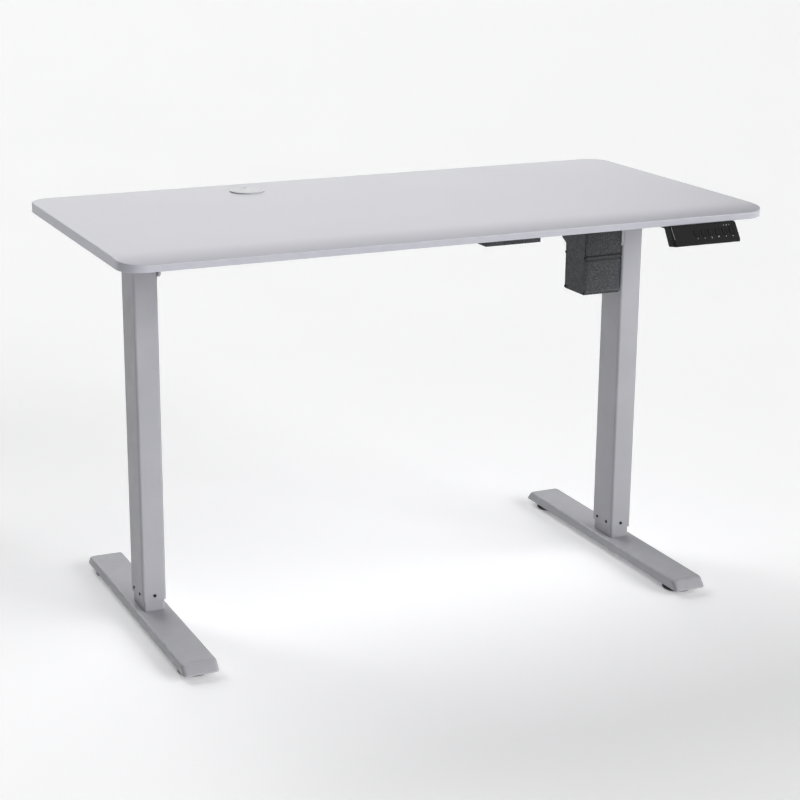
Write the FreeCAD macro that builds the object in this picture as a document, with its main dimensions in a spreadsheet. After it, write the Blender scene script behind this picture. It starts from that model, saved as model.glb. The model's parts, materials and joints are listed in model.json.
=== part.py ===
import FreeCAD, Part
import math
import os
import Sketcher

# A two-column, electrically raised desk, in millimetres. The origin is on the floor under the
# middle of the desk, +Z is up, -Y is the side where the user sits and the desk is at its lowest.

os.makedirs("parts", exist_ok=True)
doc = FreeCAD.newDocument("Desk")
sheet = doc.addObject("Spreadsheet::Sheet", "Sizes")

DRIVING = {
    # desktop board
    "desk_height": 728.0,
    "top_width": 1200.0,
    "top_depth": 600.0,
    "top_thick": 18.0,
    "top_corner": 42.0,
    "top_edge_round": 1.2,
    "curve_depth": 73.0,
    "curve_drop": 6.0,
    # cable grommet
    "grommet_left": 200.0,
    "grommet_back": 222.0,
    "grommet_bore": 29.0,
    "grommet_flange": 32.4,
    "grommet_proud": 2.0,
    "grommet_wall": 2.2,
    "grommet_seat": 0.4,
    "grommet_low": 3.0,
    "grommet_round": 0.8,
    "cap_thick": 4.0,
    "cap_ledge": 2.5,
    "cap_notch": 8.0,
    # columns
    "column_spacing": 965.2,
    "outer_wide": 44.0,
    "outer_deep": 72.0,
    "outer_wall": 1.5,
    "outer_corner": 5.0,
    "tube_gap": 19.3,
    "glide_gap": 0.25,
    "inner_wide": 38.0,
    "inner_deep": 67.0,
    "inner_wall": 1.5,
    "inner_corner": 3.75,
    "inner_length": 596.5,
    "lower_glide_length": 60.0,
    "upper_glide_length": 60.0,
    "glide_setback": 2.0,
    # feet and levelling feet
    "foot_length": 582.0,
    "foot_width": 64.0,
    "foot_height": 18.0,
    "foot_wall": 2.0,
    "foot_edge_round": 4.0,
    "foot_end_slope": 14.0,
    "foot_tip": 3.0,
    "foot_clear": 10.5,
    "pad_radius": 28.0,
    "pad_thick": 6.5,
    "pad_inset": 46.0,
    "pad_rim": 3.5,
    "pad_neck": 9.0,
    "nut_radius": 7.0,
    "nut_tall": 8.0,
    "stud_radius": 4.0,
    "stud_length": 17.5,
    "base_plate_thick": 6.0,
    "base_bolt_x": 10.0,
    "base_bolt_y": 24.0,
    # head of each column, cross rails and side arms
    "head_plate_thick": 4.0,
    "arm_height": 30.0,
    "arm_length": 420.0,
    "arm_end_height": 12.0,
    "arm_flat": 220.0,
    "arm_wall": 2.5,
    "rail_deep": 20.0,
    "rail_tall": 28.0,
    "rail_wall": 1.5,
    "rail_place": 52.0,
    "bracket_thick": 4.5,
    "bracket_width": 80.0,
    "bracket_shoulder": 34.0,
    "bracket_corner": 9.0,
    "left_bracket_drop": 70.0,
    "right_bracket_drop": 91.0,
    "tab_length": 16.0,
    "tab_thick": 2.5,
    # gear train
    "rod_below_top": 15.0,
    "rod_flats": 7.0,
    "bevel_radius": 10.0,
    "bevel_face": 5.0,
    "gear_gap": 0.4,
    "gearbox_deep": 60.0,
    "gearbox_roof": 1.9,
    "cavity_radius": 14.0,
    "bearing_radius": 11.0,
    "bearing_thick": 4.6,
    "journal_radius": 5.0,
    "running_gap": 0.05,
    "spindle_radius": 7.0,
    "spindle_length": 530.0,
    "nut_thick": 22.0,
    "wheel_radius": 7.0,
    "wheel_thick": 9.0,
    "worm_radius": 4.5,
    "worm_length": 12.0,
    "bush_radius": 8.0,
    # motor housing
    "housing_width": 76.0,
    "housing_front": 37.0,
    "housing_back": 38.0,
    "housing_tall": 179.0,
    "housing_below_top": 1.5,
    "shoulder_back": 54.0,
    "shoulder_low": 88.0,
    "shoulder_high": 96.5,
    "shoulder_tall": 46.0,
    "housing_wall": 2.5,
    "cover_thick": 3.0,
    "boss_radius": 4.0,
    "boss_inset": 2.5,
    "boss_low": 4.0,
    "boss_high": 71.0,
    "groove_wide": 1.8,
    "groove_deep": 1.2,
    "motor_radius": 18.0,
    "motor_tall": 118.0,
    "motor_shaft": 2.5,
    # control box
    "control_left": 91.0,
    "control_front": 186.0,
    "control_width": 110.0,
    "control_deep": 80.0,
    "control_tall": 34.0,
    "control_wall": 2.0,
    "lid_ear": 12.0,
    "inlet_wide": 28.0,
    "inlet_tall": 20.0,
    "inlet_deep": 16.0,
    # handset
    "handset_left": 391.5,
    "handset_width": 134.0,
    "handset_face": 39.0,
    "handset_tilt": 35.0,
    "handset_setback": 3.0,
    "handset_plate": 2.0,
    "handset_deep": 24.0,
    "handset_sag": 4.6,
    "flange_deep": 42.0,
    "flange_thick": 7.0,
    "handset_round": 3.0,
    "button_pitch": 14.5,
    "button_wide": 8.0,
    "button_tall": 12.6,
    "button_right": 13.0,
    "button_down": 17.2,
    "button_gap": 0.3,
    "button_proud": 0.6,
    "button_travel": 1.0,
    "board_thick": 1.6,
    # fasteners
    "screw_radius": 2.0,
    "screw_head": 4.0,
    "screw_head_tall": 2.2,
    "screw_length": 15.0,
    "bolt_radius": 3.0,
    "bolt_head": 5.0,
    "bolt_head_tall": 4.0,
    "pin_radius": 1.4,
    "pin_head": 2.9,
    "pin_head_tall": 1.6,
    "hole_gap": 0.1,
}


class Size:
    """A length that keeps both its number and the sheet expression that gives it."""

    def __init__(self, number, text):
        self.number = number
        self.text = text

    def join(self, other, sign, number):
        return Size(number, f"({self.text} {sign} {other.text})")

    def __add__(self, other):
        other = as_size(other)
        return self.join(other, "+", self.number + other.number)

    def __sub__(self, other):
        other = as_size(other)
        return self.join(other, "-", self.number - other.number)

    def __mul__(self, other):
        other = as_size(other)
        return self.join(other, "*", self.number * other.number)

    def __truediv__(self, other):
        other = as_size(other)
        return self.join(other, "/", self.number / other.number)

    def __neg__(self):
        return self * -1

    def __radd__(self, other):
        return as_size(other) + self

    def __rsub__(self, other):
        return as_size(other) - self

    def __rmul__(self, other):
        return as_size(other) * self


def as_size(value):
    if isinstance(value, Size):
        return value
    return Size(float(value), f"({float(value)!r})")


class Sheet:
    """The driving dimensions, each one a Size that is read as an attribute."""


S = Sheet()
for row, (alias, value) in enumerate(DRIVING.items(), 1):
    sheet.set(f"A{row}", f"'{alias}")
    sheet.set(f"B{row}", str(value))
    sheet.setAlias(f"B{row}", alias)
    setattr(S, alias, Size(value, f"Sizes.{alias}"))
doc.recompute()

parts = []


def body(label, x=0, y=0, z=0):
    """A new body whose place is bound to the sheet."""
    made = doc.addObject("PartDesign::Body", label)
    made.Label = label
    for axis, value in zip("xyz", (x, y, z)):
        made.setExpression(f"Placement.Base.{axis}", as_size(value).text)
    parts.append(made)
    return made


def sketch(owner, plane, lift=0):
    """An empty sketch on one of the body's origin planes, lifted along the plane's normal."""
    origin = [item for item in owner.Origin.OriginFeatures if item.Role == plane + "_Plane"][0]
    made = owner.newObject("Sketcher::SketchObject", owner.Label + "_sketch")
    made.AttachmentSupport = [(origin, "")]
    made.MapMode = "FlatFace"
    made.setExpression("AttachmentOffset.Base.z", as_size(lift).text)
    return made


def pin_point(target, index, corner, point):
    """Ties one end of a sketch line to a place given from the sketch's origin."""
    for kind, value in zip(("DistanceX", "DistanceY"), point):
        value = as_size(value)
        rule = Sketcher.Constraint(kind, -1, 1, index, corner, value.number)
        number = target.addConstraint(rule)
        target.setExpression(f"Constraints[{number}]", value.text)


def polygon(target, points):
    """A closed outline of straight sides through the given points."""
    points = [tuple(as_size(value) for value in point) for point in points]
    flat = [FreeCAD.Vector(a.number, b.number, 0) for a, b in points]
    first = target.GeometryCount
    for start, end in zip(flat, flat[1:] + flat[:1]):
        target.addGeometry(Part.LineSegment(start, end), False)
    for step, point in enumerate(points):
        following = first + (step + 1) % len(points)
        target.addConstraint(Sketcher.Constraint("Coincident", first + step, 2, following, 1))
        pin_point(target, first + step, 1, point)


def rectangle(target, wide, tall, x=0, y=0):
    """A rectangle centred at x, y."""
    left, right = x - as_size(wide) / 2, x + as_size(wide) / 2
    low, high = y - as_size(tall) / 2, y + as_size(tall) / 2
    polygon(target, [(left, low), (right, low), (right, high), (left, high)])


def rounded(target, wide, deep, corner):
    """A rectangle round the sketch's origin, with quarter-circle corners."""
    across, along, corner = as_size(wide) / 2, as_size(deep) / 2, as_size(corner)
    near, far = across - corner, along - corner
    sides = [((-near, -along), (near, -along)), ((across, -far), (across, far)),
             ((near, along), (-near, along)), ((-across, far), (-across, -far))]
    centres = [(near, -far), (near, far), (-near, far), (-near, -far)]
    first = target.GeometryCount
    for start, end in sides:
        line = [FreeCAD.Vector(point[0].number, point[1].number, 0) for point in (start, end)]
        index = target.addGeometry(Part.LineSegment(*line), False)
        pin_point(target, index, 1, start)
        pin_point(target, index, 2, end)
    for step, (x, y) in enumerate(centres):
        centre = FreeCAD.Vector(x.number, y.number, 0)
        ring = Part.Circle(centre, FreeCAD.Vector(0, 0, 1), corner.number)
        opening = math.pi / 2 * (step - 1)
        arc = Part.ArcOfCircle(ring, opening, opening + math.pi / 2)
        index = target.addGeometry(arc, False)
        following = first + (step + 1) % 4
        target.addConstraint(Sketcher.Constraint("Coincident", index, 1, first + step, 2))
        target.addConstraint(Sketcher.Constraint("Coincident", index, 2, following, 1))
        number = target.addConstraint(Sketcher.Constraint("Radius", index, corner.number))
        target.setExpression(f"Constraints[{number}]", corner.text)


def circle(target, radius, x=0, y=0):
    radius, x, y = as_size(radius), as_size(x), as_size(y)
    centre = FreeCAD.Vector(x.number, y.number, 0)
    made = Part.Circle(centre, FreeCAD.Vector(0, 0, 1), radius.number)
    index = target.addGeometry(made, False)
    pin_point(target, index, 3, (x, y))
    number = target.addConstraint(Sketcher.Constraint("Radius", index, radius.number))
    target.setExpression(f"Constraints[{number}]", radius.text)


def hexagon(target, flats, x=0, y=0):
    """A hexagon given across its flats, with two corners on the sketch's vertical."""
    reach = as_size(flats) / math.sqrt(3)
    turns = [math.radians(30 + 60 * step) for step in range(6)]
    polygon(target, [(x + reach * math.cos(turn), y + reach * math.sin(turn)) for turn in turns])


def pad(target, length):
    """Adds material from the sketch along its plane's normal."""
    owner = target.getParentGeoFeatureGroup()
    made = owner.newObject("PartDesign::Pad", owner.Label + "_pad")
    made.Profile = target
    made.setExpression("Length", as_size(length).text)
    doc.recompute()
    return made


def pocket(target, depth):
    """Cuts from the sketch along its plane's normal, and makes sure that something was cut."""
    owner = target.getParentGeoFeatureGroup()
    before = owner.Shape.Volume
    made = owner.newObject("PartDesign::Pocket", owner.Label + "_pocket")
    made.Profile = target
    made.Reversed = True
    made.setExpression("Length", as_size(depth).text)
    doc.recompute()
    if made.Shape.isNull() or not made.Shape.Volume < before:
        raise ValueError(f"{owner.Label}: a pocket removed nothing")
    return made


def edges_of(feature, chosen):
    """Names of the feature's edges for which chosen(edge) is true."""
    return [f"Edge{i}" for i, edge in enumerate(feature.Shape.Edges, 1) if chosen(edge)]


def runs_along(axis):
    """A test for straight edges parallel to one axis, 0 for X, 1 for Y or 2 for Z."""

    def test(edge):
        if edge.Curve.TypeId != "Part::GeomLine":
            return False
        return abs(edge.Curve.Direction[axis]) > 0.999

    return test


def soften(feature, radius, chosen):
    """Rounds the chosen edges of a feature."""
    owner = feature.getParentGeoFeatureGroup()
    made = owner.newObject("PartDesign::Fillet", owner.Label + "_round")
    made.Base = (feature, edges_of(feature, chosen))
    made.setExpression("Radius", as_size(radius).text)
    doc.recompute()
    return made


def turned(owner, profile):
    """Revolves an outline of (radius, height) points about the body's Z axis."""
    target = sketch(owner, "XZ")
    polygon(target, profile)
    made = owner.newObject("PartDesign::Revolution", owner.Label + "_turned")
    made.Profile = target
    made.ReferenceAxis = (target, ["V_Axis"])
    made.Angle = 360.0
    doc.recompute()
    return made


def block(label, wide, deep, tall, x=0, y=0, z=0):
    """A plain box centred on x and y, standing on z."""
    made = body(label, x, y, z)
    outline = sketch(made, "XY")
    rectangle(outline, wide, deep)
    pad(outline, tall)
    return made


def group(label, solids):
    """Several like solids kept as one sub-part."""
    made = doc.addObject("Part::Compound", label)
    made.Label = label
    made.Links = solids
    parts[:] = [part for part in parts if part not in solids]
    parts.append(made)
    return made


def turned_solid(name, profile, place, axis, up=(0, 0, 1)):
    """One solid of revolution that belongs to a group, pointing along axis from place."""
    made = doc.addObject("Part::Feature", name)
    outline = [FreeCAD.Vector(as_size(r).number, 0, as_size(height).number) for r, height in profile]
    face = Part.Face(Part.makePolygon(outline + outline[:1]))
    made.Shape = face.revolve(FreeCAD.Vector(0, 0, 0), FreeCAD.Vector(0, 0, 1), 360)
    turn = FreeCAD.Rotation(FreeCAD.Vector(*up), FreeCAD.Vector(*axis))
    base = FreeCAD.Vector(*(as_size(value).number for value in place))
    made.Placement = FreeCAD.Placement(base, turn)
    return made


def headed(shank, head, head_tall, length):
    """Profile of a screw or bolt: its head lies below zero and its shank rises above."""
    return [(0, -head_tall), (head, -head_tall), (head, 0), (shank, 0), (shank, length), (0, length)]


SIDES = {"left": -1, "right": 1}
COLUMN = S.column_spacing / 2
TOP = S.desk_height
UNDER = TOP - S.top_thick
FRONT = -S.top_depth / 2
FOOT_TOP = S.foot_clear + S.foot_height
ARM_LOW = UNDER - S.arm_height
HEAD_LOW = ARM_LOW - S.head_plate_thick
OUTER_LOW = FOOT_TOP + S.tube_gap
ROD = UNDER - S.rod_below_top
INNER_FACE = COLUMN - S.outer_wide / 2
BRACKET_FACE = INNER_FACE - S.bracket_thick
NARROW = S.outer_wide - S.outer_wall * 2
DEEP = S.outer_deep - S.outer_wall * 2
INNER_TOP = FOOT_TOP + S.inner_length
PAD_PLACE = S.foot_length / 2 - S.pad_inset


# ---------------------------------------------------------------- desktop and grommet

ARM_SCREWS = (190, 120)
LID = 2


def desktop():
    """Board with rounded corners, a front that curves gently down and a cable hole."""
    board = body("desktop", 0, 0, UNDER)
    plan = sketch(board, "XY")
    rectangle(plan, S.top_width, S.top_depth)
    slab = pad(plan, S.top_thick)
    slab = soften(slab, S.top_corner, runs_along(2))
    # the front strip is cut away above an arc that leaves the top flat
    radius = (S.curve_depth * S.curve_depth + S.curve_drop * S.curve_drop) / (S.curve_drop * 2)
    side = sketch(board, "YZ", -S.top_width / 2 - 5)
    start = FRONT + S.curve_depth
    reach = FRONT - 4
    level = S.top_thick + 4
    run = start.number - reach.number
    drop = radius.number - math.sqrt(radius.number ** 2 - run ** 2)
    centre = FreeCAD.Vector(start.number, S.top_thick.number - radius.number, 0)
    ring = Part.Circle(centre, FreeCAD.Vector(0, 0, 1), radius.number)
    high = FreeCAD.Vector(start.number, S.top_thick.number, 0)
    low = FreeCAD.Vector(reach.number, S.top_thick.number - drop, 0)
    turns = [ring.parameter(high), ring.parameter(low)]
    side.addGeometry(Part.ArcOfCircle(ring, *turns), False)
    corners = [low, FreeCAD.Vector(reach.number, level.number, 0),
               FreeCAD.Vector(start.number, level.number, 0), high]
    for here, there in zip(corners, corners[1:]):
        side.addGeometry(Part.LineSegment(here, there), False)
    for rule in (("Coincident", 0, 2, 1, 1), ("Coincident", 1, 2, 2, 1),
                 ("Coincident", 2, 2, 3, 1), ("Coincident", 3, 2, 0, 1),
                 ("Vertical", 1), ("Horizontal", 2), ("Vertical", 3)):
        side.addConstraint(Sketcher.Constraint(*rule))
    pin_point(side, 0, 1, (start, S.top_thick))
    pin_point(side, 0, 3, (start, S.top_thick - radius))
    pin_point(side, 1, 2, (reach, level))
    pocket(side, S.top_width + 10)
    hole = sketch(board, "XY")
    circle(hole, S.grommet_bore, -S.grommet_left, S.grommet_back)
    pocket(hole, S.top_thick)
    seat = sketch(board, "XY", S.top_thick - S.grommet_seat)
    circle(seat, S.grommet_flange + S.hole_gap, -S.grommet_left, S.grommet_back)
    pocket(seat, S.grommet_seat)
    holes = sketch(board, "XY")
    for x, y in board_screws():
        circle(holes, S.screw_radius + S.hole_gap, x, y)
    made = pocket(holes, S.screw_length)
    soften(made, S.top_edge_round, is_rim)


def is_rim(edge):
    """Edges round the board's underside, the outer ones only."""
    flat = edge.BoundBox.ZLength < 0.01 and edge.BoundBox.ZMax < 0.01
    far = max(abs(edge.BoundBox.XMin), abs(edge.BoundBox.XMax)) > S.top_width.number / 2 - 100
    long = edge.Length > 50
    return flat and (long or far) and edge.Length > 20


def arm_screw_places():
    return [(side * COLUMN, sign * place) for side in SIDES.values() for place in ARM_SCREWS
            for sign in (-1, 1)]


def control_screw_places():
    middle = -S.control_front + S.control_deep / 2
    low = S.control_left - S.lid_ear / 2
    high = S.control_left + S.control_width + S.lid_ear / 2
    return [(low, middle), (high, middle)]


def handset_screw_places():
    middle = S.handset_left + S.handset_width / 2
    place = FRONT + S.handset_setback + S.handset_deep + S.flange_deep * 0.6
    return [(middle + side * S.handset_width * 0.35, place) for side in (-1, 1)]


def board_screws():
    return arm_screw_places() + control_screw_places() + handset_screw_places()


def wood_screws():
    """Screws driven up into the board through the arms, the box's lid and the handset."""
    grips = {S.arm_wall: arm_screw_places(), as_size(LID): control_screw_places(),
             S.flange_thick: handset_screw_places()}
    profile = headed(S.screw_radius, S.screw_head, S.screw_head_tall, S.screw_length - 1)
    group("board_screws", [turned_solid("board_screw", profile, (x, y, UNDER - grip), (0, 0, 1))
                           for grip, places in grips.items() for x, y in places])


def grommet():
    """Flanged sleeve let into the board, and the round cap that turns on its ledge."""
    ring = body("grommet_ring", -S.grommet_left, S.grommet_back, UNDER)
    top = S.top_thick + S.grommet_proud
    sleeve = S.grommet_bore - S.hole_gap
    mouth = sleeve - S.grommet_wall
    ledge = mouth - S.cap_ledge
    seat = S.top_thick - S.grommet_seat
    turned(ring, [(ledge, S.grommet_low), (sleeve, S.grommet_low), (sleeve, seat),
                  (S.grommet_flange, seat), (S.grommet_flange, top - S.grommet_round),
                  (S.grommet_flange - S.grommet_round, top), (mouth, top),
                  (mouth, top - S.cap_thick), (ledge, top - S.cap_thick)])
    cap = body("grommet_cap", -S.grommet_left, S.grommet_back, UNDER + top - S.cap_thick)
    outline = sketch(cap, "XY")
    reach = mouth - 0.3
    circle(outline, reach)
    pad(outline, S.cap_thick)
    notch = sketch(cap, "XY")
    circle(notch, S.cap_notch, 0, reach)
    pocket(notch, S.cap_thick)


# ---------------------------------------------------------------- feet

BASE_BOLTS = [(i, j) for i in (-1, 1) for j in (-1, 1)]


def foot(side, sign):
    """Folded steel foot, open underneath, with ends that slope outward to the floor."""
    made = body(f"foot_{side}", sign * COLUMN, 0, S.foot_clear)
    outline = sketch(made, "YZ", -S.foot_width / 2)
    half = S.foot_length / 2
    upper = half - S.foot_end_slope
    polygon(outline, [(-half, 0), (half, 0), (half, S.foot_tip), (upper, S.foot_height),
                      (-upper, S.foot_height), (-half, S.foot_tip)])
    bar = pad(outline, S.foot_width)
    bar = soften(bar, S.foot_edge_round, lambda edge: runs_along(1)(edge) and edge.BoundBox.ZMin > 1)
    hollow = sketch(made, "YZ", S.foot_wall - S.foot_width / 2)
    inner = half - S.foot_wall
    inner_upper = upper - S.foot_wall
    roof = S.foot_height - S.foot_wall
    polygon(hollow, [(-inner, -1), (inner, -1), (inner, S.foot_tip - 0.5), (inner_upper, roof),
                     (-inner_upper, roof), (-inner, S.foot_tip - 0.5)])
    pocket(hollow, S.foot_width - S.foot_wall * 2)
    holes = sketch(made, "XY", roof - 1)
    for i, j in BASE_BOLTS:
        circle(holes, S.bolt_radius + S.hole_gap, i * S.base_bolt_x, j * S.base_bolt_y)
    pocket(holes, S.foot_wall + 2)


def foot_closer(side, sign):
    """Flat plate that closes the foot underneath and carries the levelling nuts."""
    made = block(f"foot_plate_{side}", S.foot_width - S.foot_wall * 2,
                 S.foot_length - S.foot_wall * 2 - 2, S.foot_wall, sign * COLUMN, 0, S.foot_clear)
    holes = sketch(made, "XY")
    for j in (-1, 1):
        circle(holes, S.stud_radius + 0.3, 0, j * PAD_PLACE)
    for i, j in BASE_BOLTS:
        circle(holes, S.bolt_head + 1.5, i * S.base_bolt_x, j * S.base_bolt_y)
    pocket(holes, S.foot_wall)
    return made


def foot_nuts():
    """The four nuts, welded in the feet, that the levelling feet screw into."""
    inner = S.stud_radius + 0.3
    profile = [(inner, 0), (S.nut_radius, 0), (S.nut_radius, S.nut_tall), (inner, S.nut_tall)]
    base = S.foot_clear + S.foot_wall
    group("levelling_nuts", [turned_solid(f"levelling_nut_{side}_{j + 1}", profile,
                                          (sign * COLUMN, j * PAD_PLACE, base), (0, 0, 1))
                             for side, sign in SIDES.items() for j in (-1, 1)])


def levelling_foot(side, sign, end, along):
    """Round black pad on a threaded stud."""
    made = body(f"levelling_foot_{side}_{end}", sign * COLUMN, along * PAD_PLACE, 0)
    neck = S.foot_clear - 0.3
    slope = S.pad_thick - S.pad_rim
    turned(made, [(0, 0), (S.pad_radius - 1, 0), (S.pad_radius, 1), (S.pad_radius, S.pad_rim),
                  (S.pad_radius - slope, S.pad_thick), (S.pad_neck, S.pad_thick), (S.pad_neck, neck),
                  (S.stud_radius, neck), (S.stud_radius, neck + S.stud_length - 4),
                  (0, neck + S.stud_length - 4)])


def base_bolts():
    """Bolts that hold each column down to its foot, heads inside the foot."""
    low = FOOT_TOP - S.foot_wall
    profile = headed(S.bolt_radius, S.bolt_head, S.bolt_head_tall, S.foot_wall + S.base_plate_thick)
    group("column_bolts", [turned_solid(f"column_bolt_{side}_{n}", profile,
                                        (sign * COLUMN + i * S.base_bolt_x, j * S.base_bolt_y, low),
                                        (0, 0, 1))
                           for side, sign in SIDES.items() for n, (i, j) in enumerate(BASE_BOLTS)])


# ---------------------------------------------------------------- columns

def tube(made, wide, deep, corner, hole_wide, hole_deep, hole_corner, tall):
    """Rectangular tube or sleeve with rounded corners outside and inside."""
    outline = sketch(made, "XY")
    rounded(outline, wide, deep, corner)
    rounded(outline, hole_wide, hole_deep, hole_corner)
    pad(outline, tall)


def screw_sides():
    """Where the glide screws sit on a column: offset along the face, and the face."""
    return [("x", -1, -17.5), ("x", -1, 17.5), ("x", 1, -17.5), ("x", 1, 17.5),
            ("y", -1, 0), ("y", 1, 0)]


SCREW_LEVEL = 10.2


def glide_screw_holes(made, level, wide, deep):
    """Round holes right through a column's end, for the glide screws."""
    across = sketch(made, "YZ", -wide / 2 - 1)
    for offset in (-17.5, 17.5):
        circle(across, S.pin_radius + S.hole_gap, offset, level)
    pocket(across, wide + 2)
    along = sketch(made, "XZ", -deep / 2 - 1)
    circle(along, S.pin_radius + S.hole_gap, 0, level)
    pocket(along, deep + 2)


def outer_column(side, sign):
    made = body(f"outer_tube_{side}", sign * COLUMN, 0, OUTER_LOW)
    tube(made, S.outer_wide, S.outer_deep, S.outer_corner, NARROW, DEEP,
         S.outer_corner - S.outer_wall, HEAD_LOW - OUTER_LOW)
    glide_screw_holes(made, SCREW_LEVEL, S.outer_wide, S.outer_deep)


def inner_column(side, sign):
    """Inner tube, and the tapped plate welded in its foot, which is returned."""
    made = body(f"inner_tube_{side}", sign * COLUMN, 0, FOOT_TOP)
    tube(made, S.inner_wide, S.inner_deep, S.inner_corner, S.inner_wide - S.inner_wall * 2,
         S.inner_deep - S.inner_wall * 2, S.inner_corner - S.inner_wall, S.inner_length)
    plate = block(f"base_plate_{side}", S.inner_wide - S.inner_wall * 2 - 0.4,
                  S.inner_deep - S.inner_wall * 2 - 0.4, S.base_plate_thick, sign * COLUMN, 0,
                  FOOT_TOP)
    soften(plate.Tip, S.inner_corner - S.inner_wall, runs_along(2))
    holes = sketch(plate, "XY")
    for i, j in BASE_BOLTS:
        circle(holes, S.bolt_radius + S.hole_gap, i * S.base_bolt_x, j * S.base_bolt_y)
    pocket(holes, S.base_plate_thick)
    return plate


def lower_glide(side, sign):
    """Plastic sleeve in the outer tube's mouth."""
    made = body(f"lower_glide_{side}", sign * COLUMN, 0, OUTER_LOW + S.glide_setback)
    tube(made, NARROW, DEEP, S.outer_corner - S.outer_wall, S.inner_wide + S.glide_gap * 2,
         S.inner_deep + S.glide_gap * 2, S.inner_corner + S.glide_gap, S.lower_glide_length)
    glide_screw_holes(made, SCREW_LEVEL - S.glide_setback, NARROW, DEEP)
    return made


def upper_glide(side, sign):
    """Plastic sleeve round the inner tube's head."""
    made = body(f"upper_glide_{side}", sign * COLUMN, 0, INNER_TOP - S.upper_glide_length)
    tube(made, NARROW - S.glide_gap * 2, DEEP - S.glide_gap * 2,
         S.outer_corner - S.outer_wall - S.glide_gap, S.inner_wide, S.inner_deep,
         S.inner_corner, S.upper_glide_length)
    return made


def glide_screws():
    """Small black screws round the foot of each outer tube."""
    profile = headed(S.pin_radius, S.pin_head, S.pin_head_tall, S.outer_wall + 0.6)
    solids = []
    for side, sign in SIDES.items():
        for number, (face, way, offset) in enumerate(screw_sides()):
            if face == "x":
                place = (sign * COLUMN + way * S.outer_wide / 2, offset, OUTER_LOW + SCREW_LEVEL)
                axis = (-way, 0, 0)
            else:
                place = (sign * COLUMN + offset, way * S.outer_deep / 2, OUTER_LOW + SCREW_LEVEL)
                axis = (0, -way, 0)
            solids.append(turned_solid(f"glide_screw_{side}_{number}", profile, place, axis))
    group("glide_screws", solids)


def lift_nut(side, sign):
    """Nut held in the head of the inner tube."""
    nut = block(f"lift_nut_{side}", S.inner_wide - S.inner_wall * 2 - 0.2,
                S.inner_deep - S.inner_wall * 2 - 0.2, S.nut_thick, sign * COLUMN, 0,
                INNER_TOP - S.nut_thick)
    soften(nut.Tip, S.inner_corner - S.inner_wall, runs_along(2))
    bore = sketch(nut, "XY")
    circle(bore, S.spindle_radius + 0.25)
    pocket(bore, S.nut_thick)


def spindle(side, sign):
    """Lift spindle that hangs in the column, with its bevel gear on top."""
    low = ARM_LOW - S.spindle_length
    gear_low = ROD - S.bevel_radius - low
    gear = S.bevel_radius - S.gear_gap
    made = body(f"spindle_{side}", sign * COLUMN, 0, low)
    turned(made, [(0, 0), (S.spindle_radius - 1.5, 0), (S.spindle_radius, 1.5),
                  (S.spindle_radius, S.spindle_length - 0.5),
                  (S.journal_radius, S.spindle_length - 0.5), (S.journal_radius, gear_low),
                  (gear, gear_low), (gear - S.bevel_face, gear_low + S.bevel_face),
                  (0, gear_low + S.bevel_face)])


def bearing(side, sign):
    """Ring in the gearbox floor that the spindle turns in."""
    made = body(f"bearing_{side}", sign * COLUMN, 0, ARM_LOW)
    bore = S.journal_radius + S.running_gap
    turned(made, [(bore, 0), (S.bearing_radius, 0), (S.bearing_radius, S.bearing_thick),
                  (bore, S.bearing_thick)])
    return made


def head_plate(side, sign):
    """Plate that closes the outer tube and carries the gearbox."""
    plate = block(f"head_plate_{side}", S.outer_wide, S.outer_deep, S.head_plate_thick,
                  sign * COLUMN, 0, HEAD_LOW)
    way = sketch(plate, "XY")
    circle(way, S.spindle_radius + 2)
    pocket(way, S.head_plate_thick)
    return plate


def gearbox(side, sign):
    """Block with a cavity for the bevel gears, open below for the bearing."""
    inside = S.outer_wide - S.arm_wall * 2 - 0.4
    tall = S.arm_height - S.arm_wall
    box = block(f"gearbox_{side}", inside, S.gearbox_deep, tall, sign * COLUMN, 0, ARM_LOW)
    seat = sketch(box, "XY")
    circle(seat, S.bearing_radius)
    pocket(seat, S.bearing_thick)
    cavity = sketch(box, "XY", S.bearing_thick)
    circle(cavity, S.cavity_radius)
    pocket(cavity, tall - S.gearbox_roof - S.bearing_thick)
    entry = sketch(box, "YZ", -inside / 2 if sign > 0 else 0)
    circle(entry, S.rod_flats / math.sqrt(3) + 1, 0, ROD - ARM_LOW)
    pocket(entry, inside / 2)


# ---------------------------------------------------------------- top frame

def arm(side, sign):
    """Channel under the board over each column, shallower towards its ends."""
    made = body(f"side_arm_{side}", sign * COLUMN, 0, ARM_LOW)
    outline = sketch(made, "YZ", -S.outer_wide / 2)
    half, flat = S.arm_length / 2, S.arm_flat / 2
    rise = S.arm_height - S.arm_end_height
    polygon(outline, [(-half, rise), (-flat, 0), (flat, 0), (half, rise), (half, S.arm_height),
                      (-half, S.arm_height)])
    pad(outline, S.outer_wide)
    hollow = sketch(made, "XY", -1)
    rectangle(hollow, S.outer_wide - S.arm_wall * 2, S.arm_length + 2)
    pocket(hollow, S.arm_height - S.arm_wall + 1)
    holes = sketch(made, "XY", S.arm_height - S.arm_wall - 1)
    for place in ARM_SCREWS:
        for way in (-1, 1):
            circle(holes, S.screw_radius + S.hole_gap, 0, way * place)
    pocket(holes, S.arm_wall + 1)
    entry = sketch(made, "YZ", -S.outer_wide / 2 if sign > 0 else S.outer_wide / 2 - S.arm_wall)
    circle(entry, S.bush_radius + 1, 0, S.arm_height - S.rod_below_top)
    pocket(entry, S.arm_wall)


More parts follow.
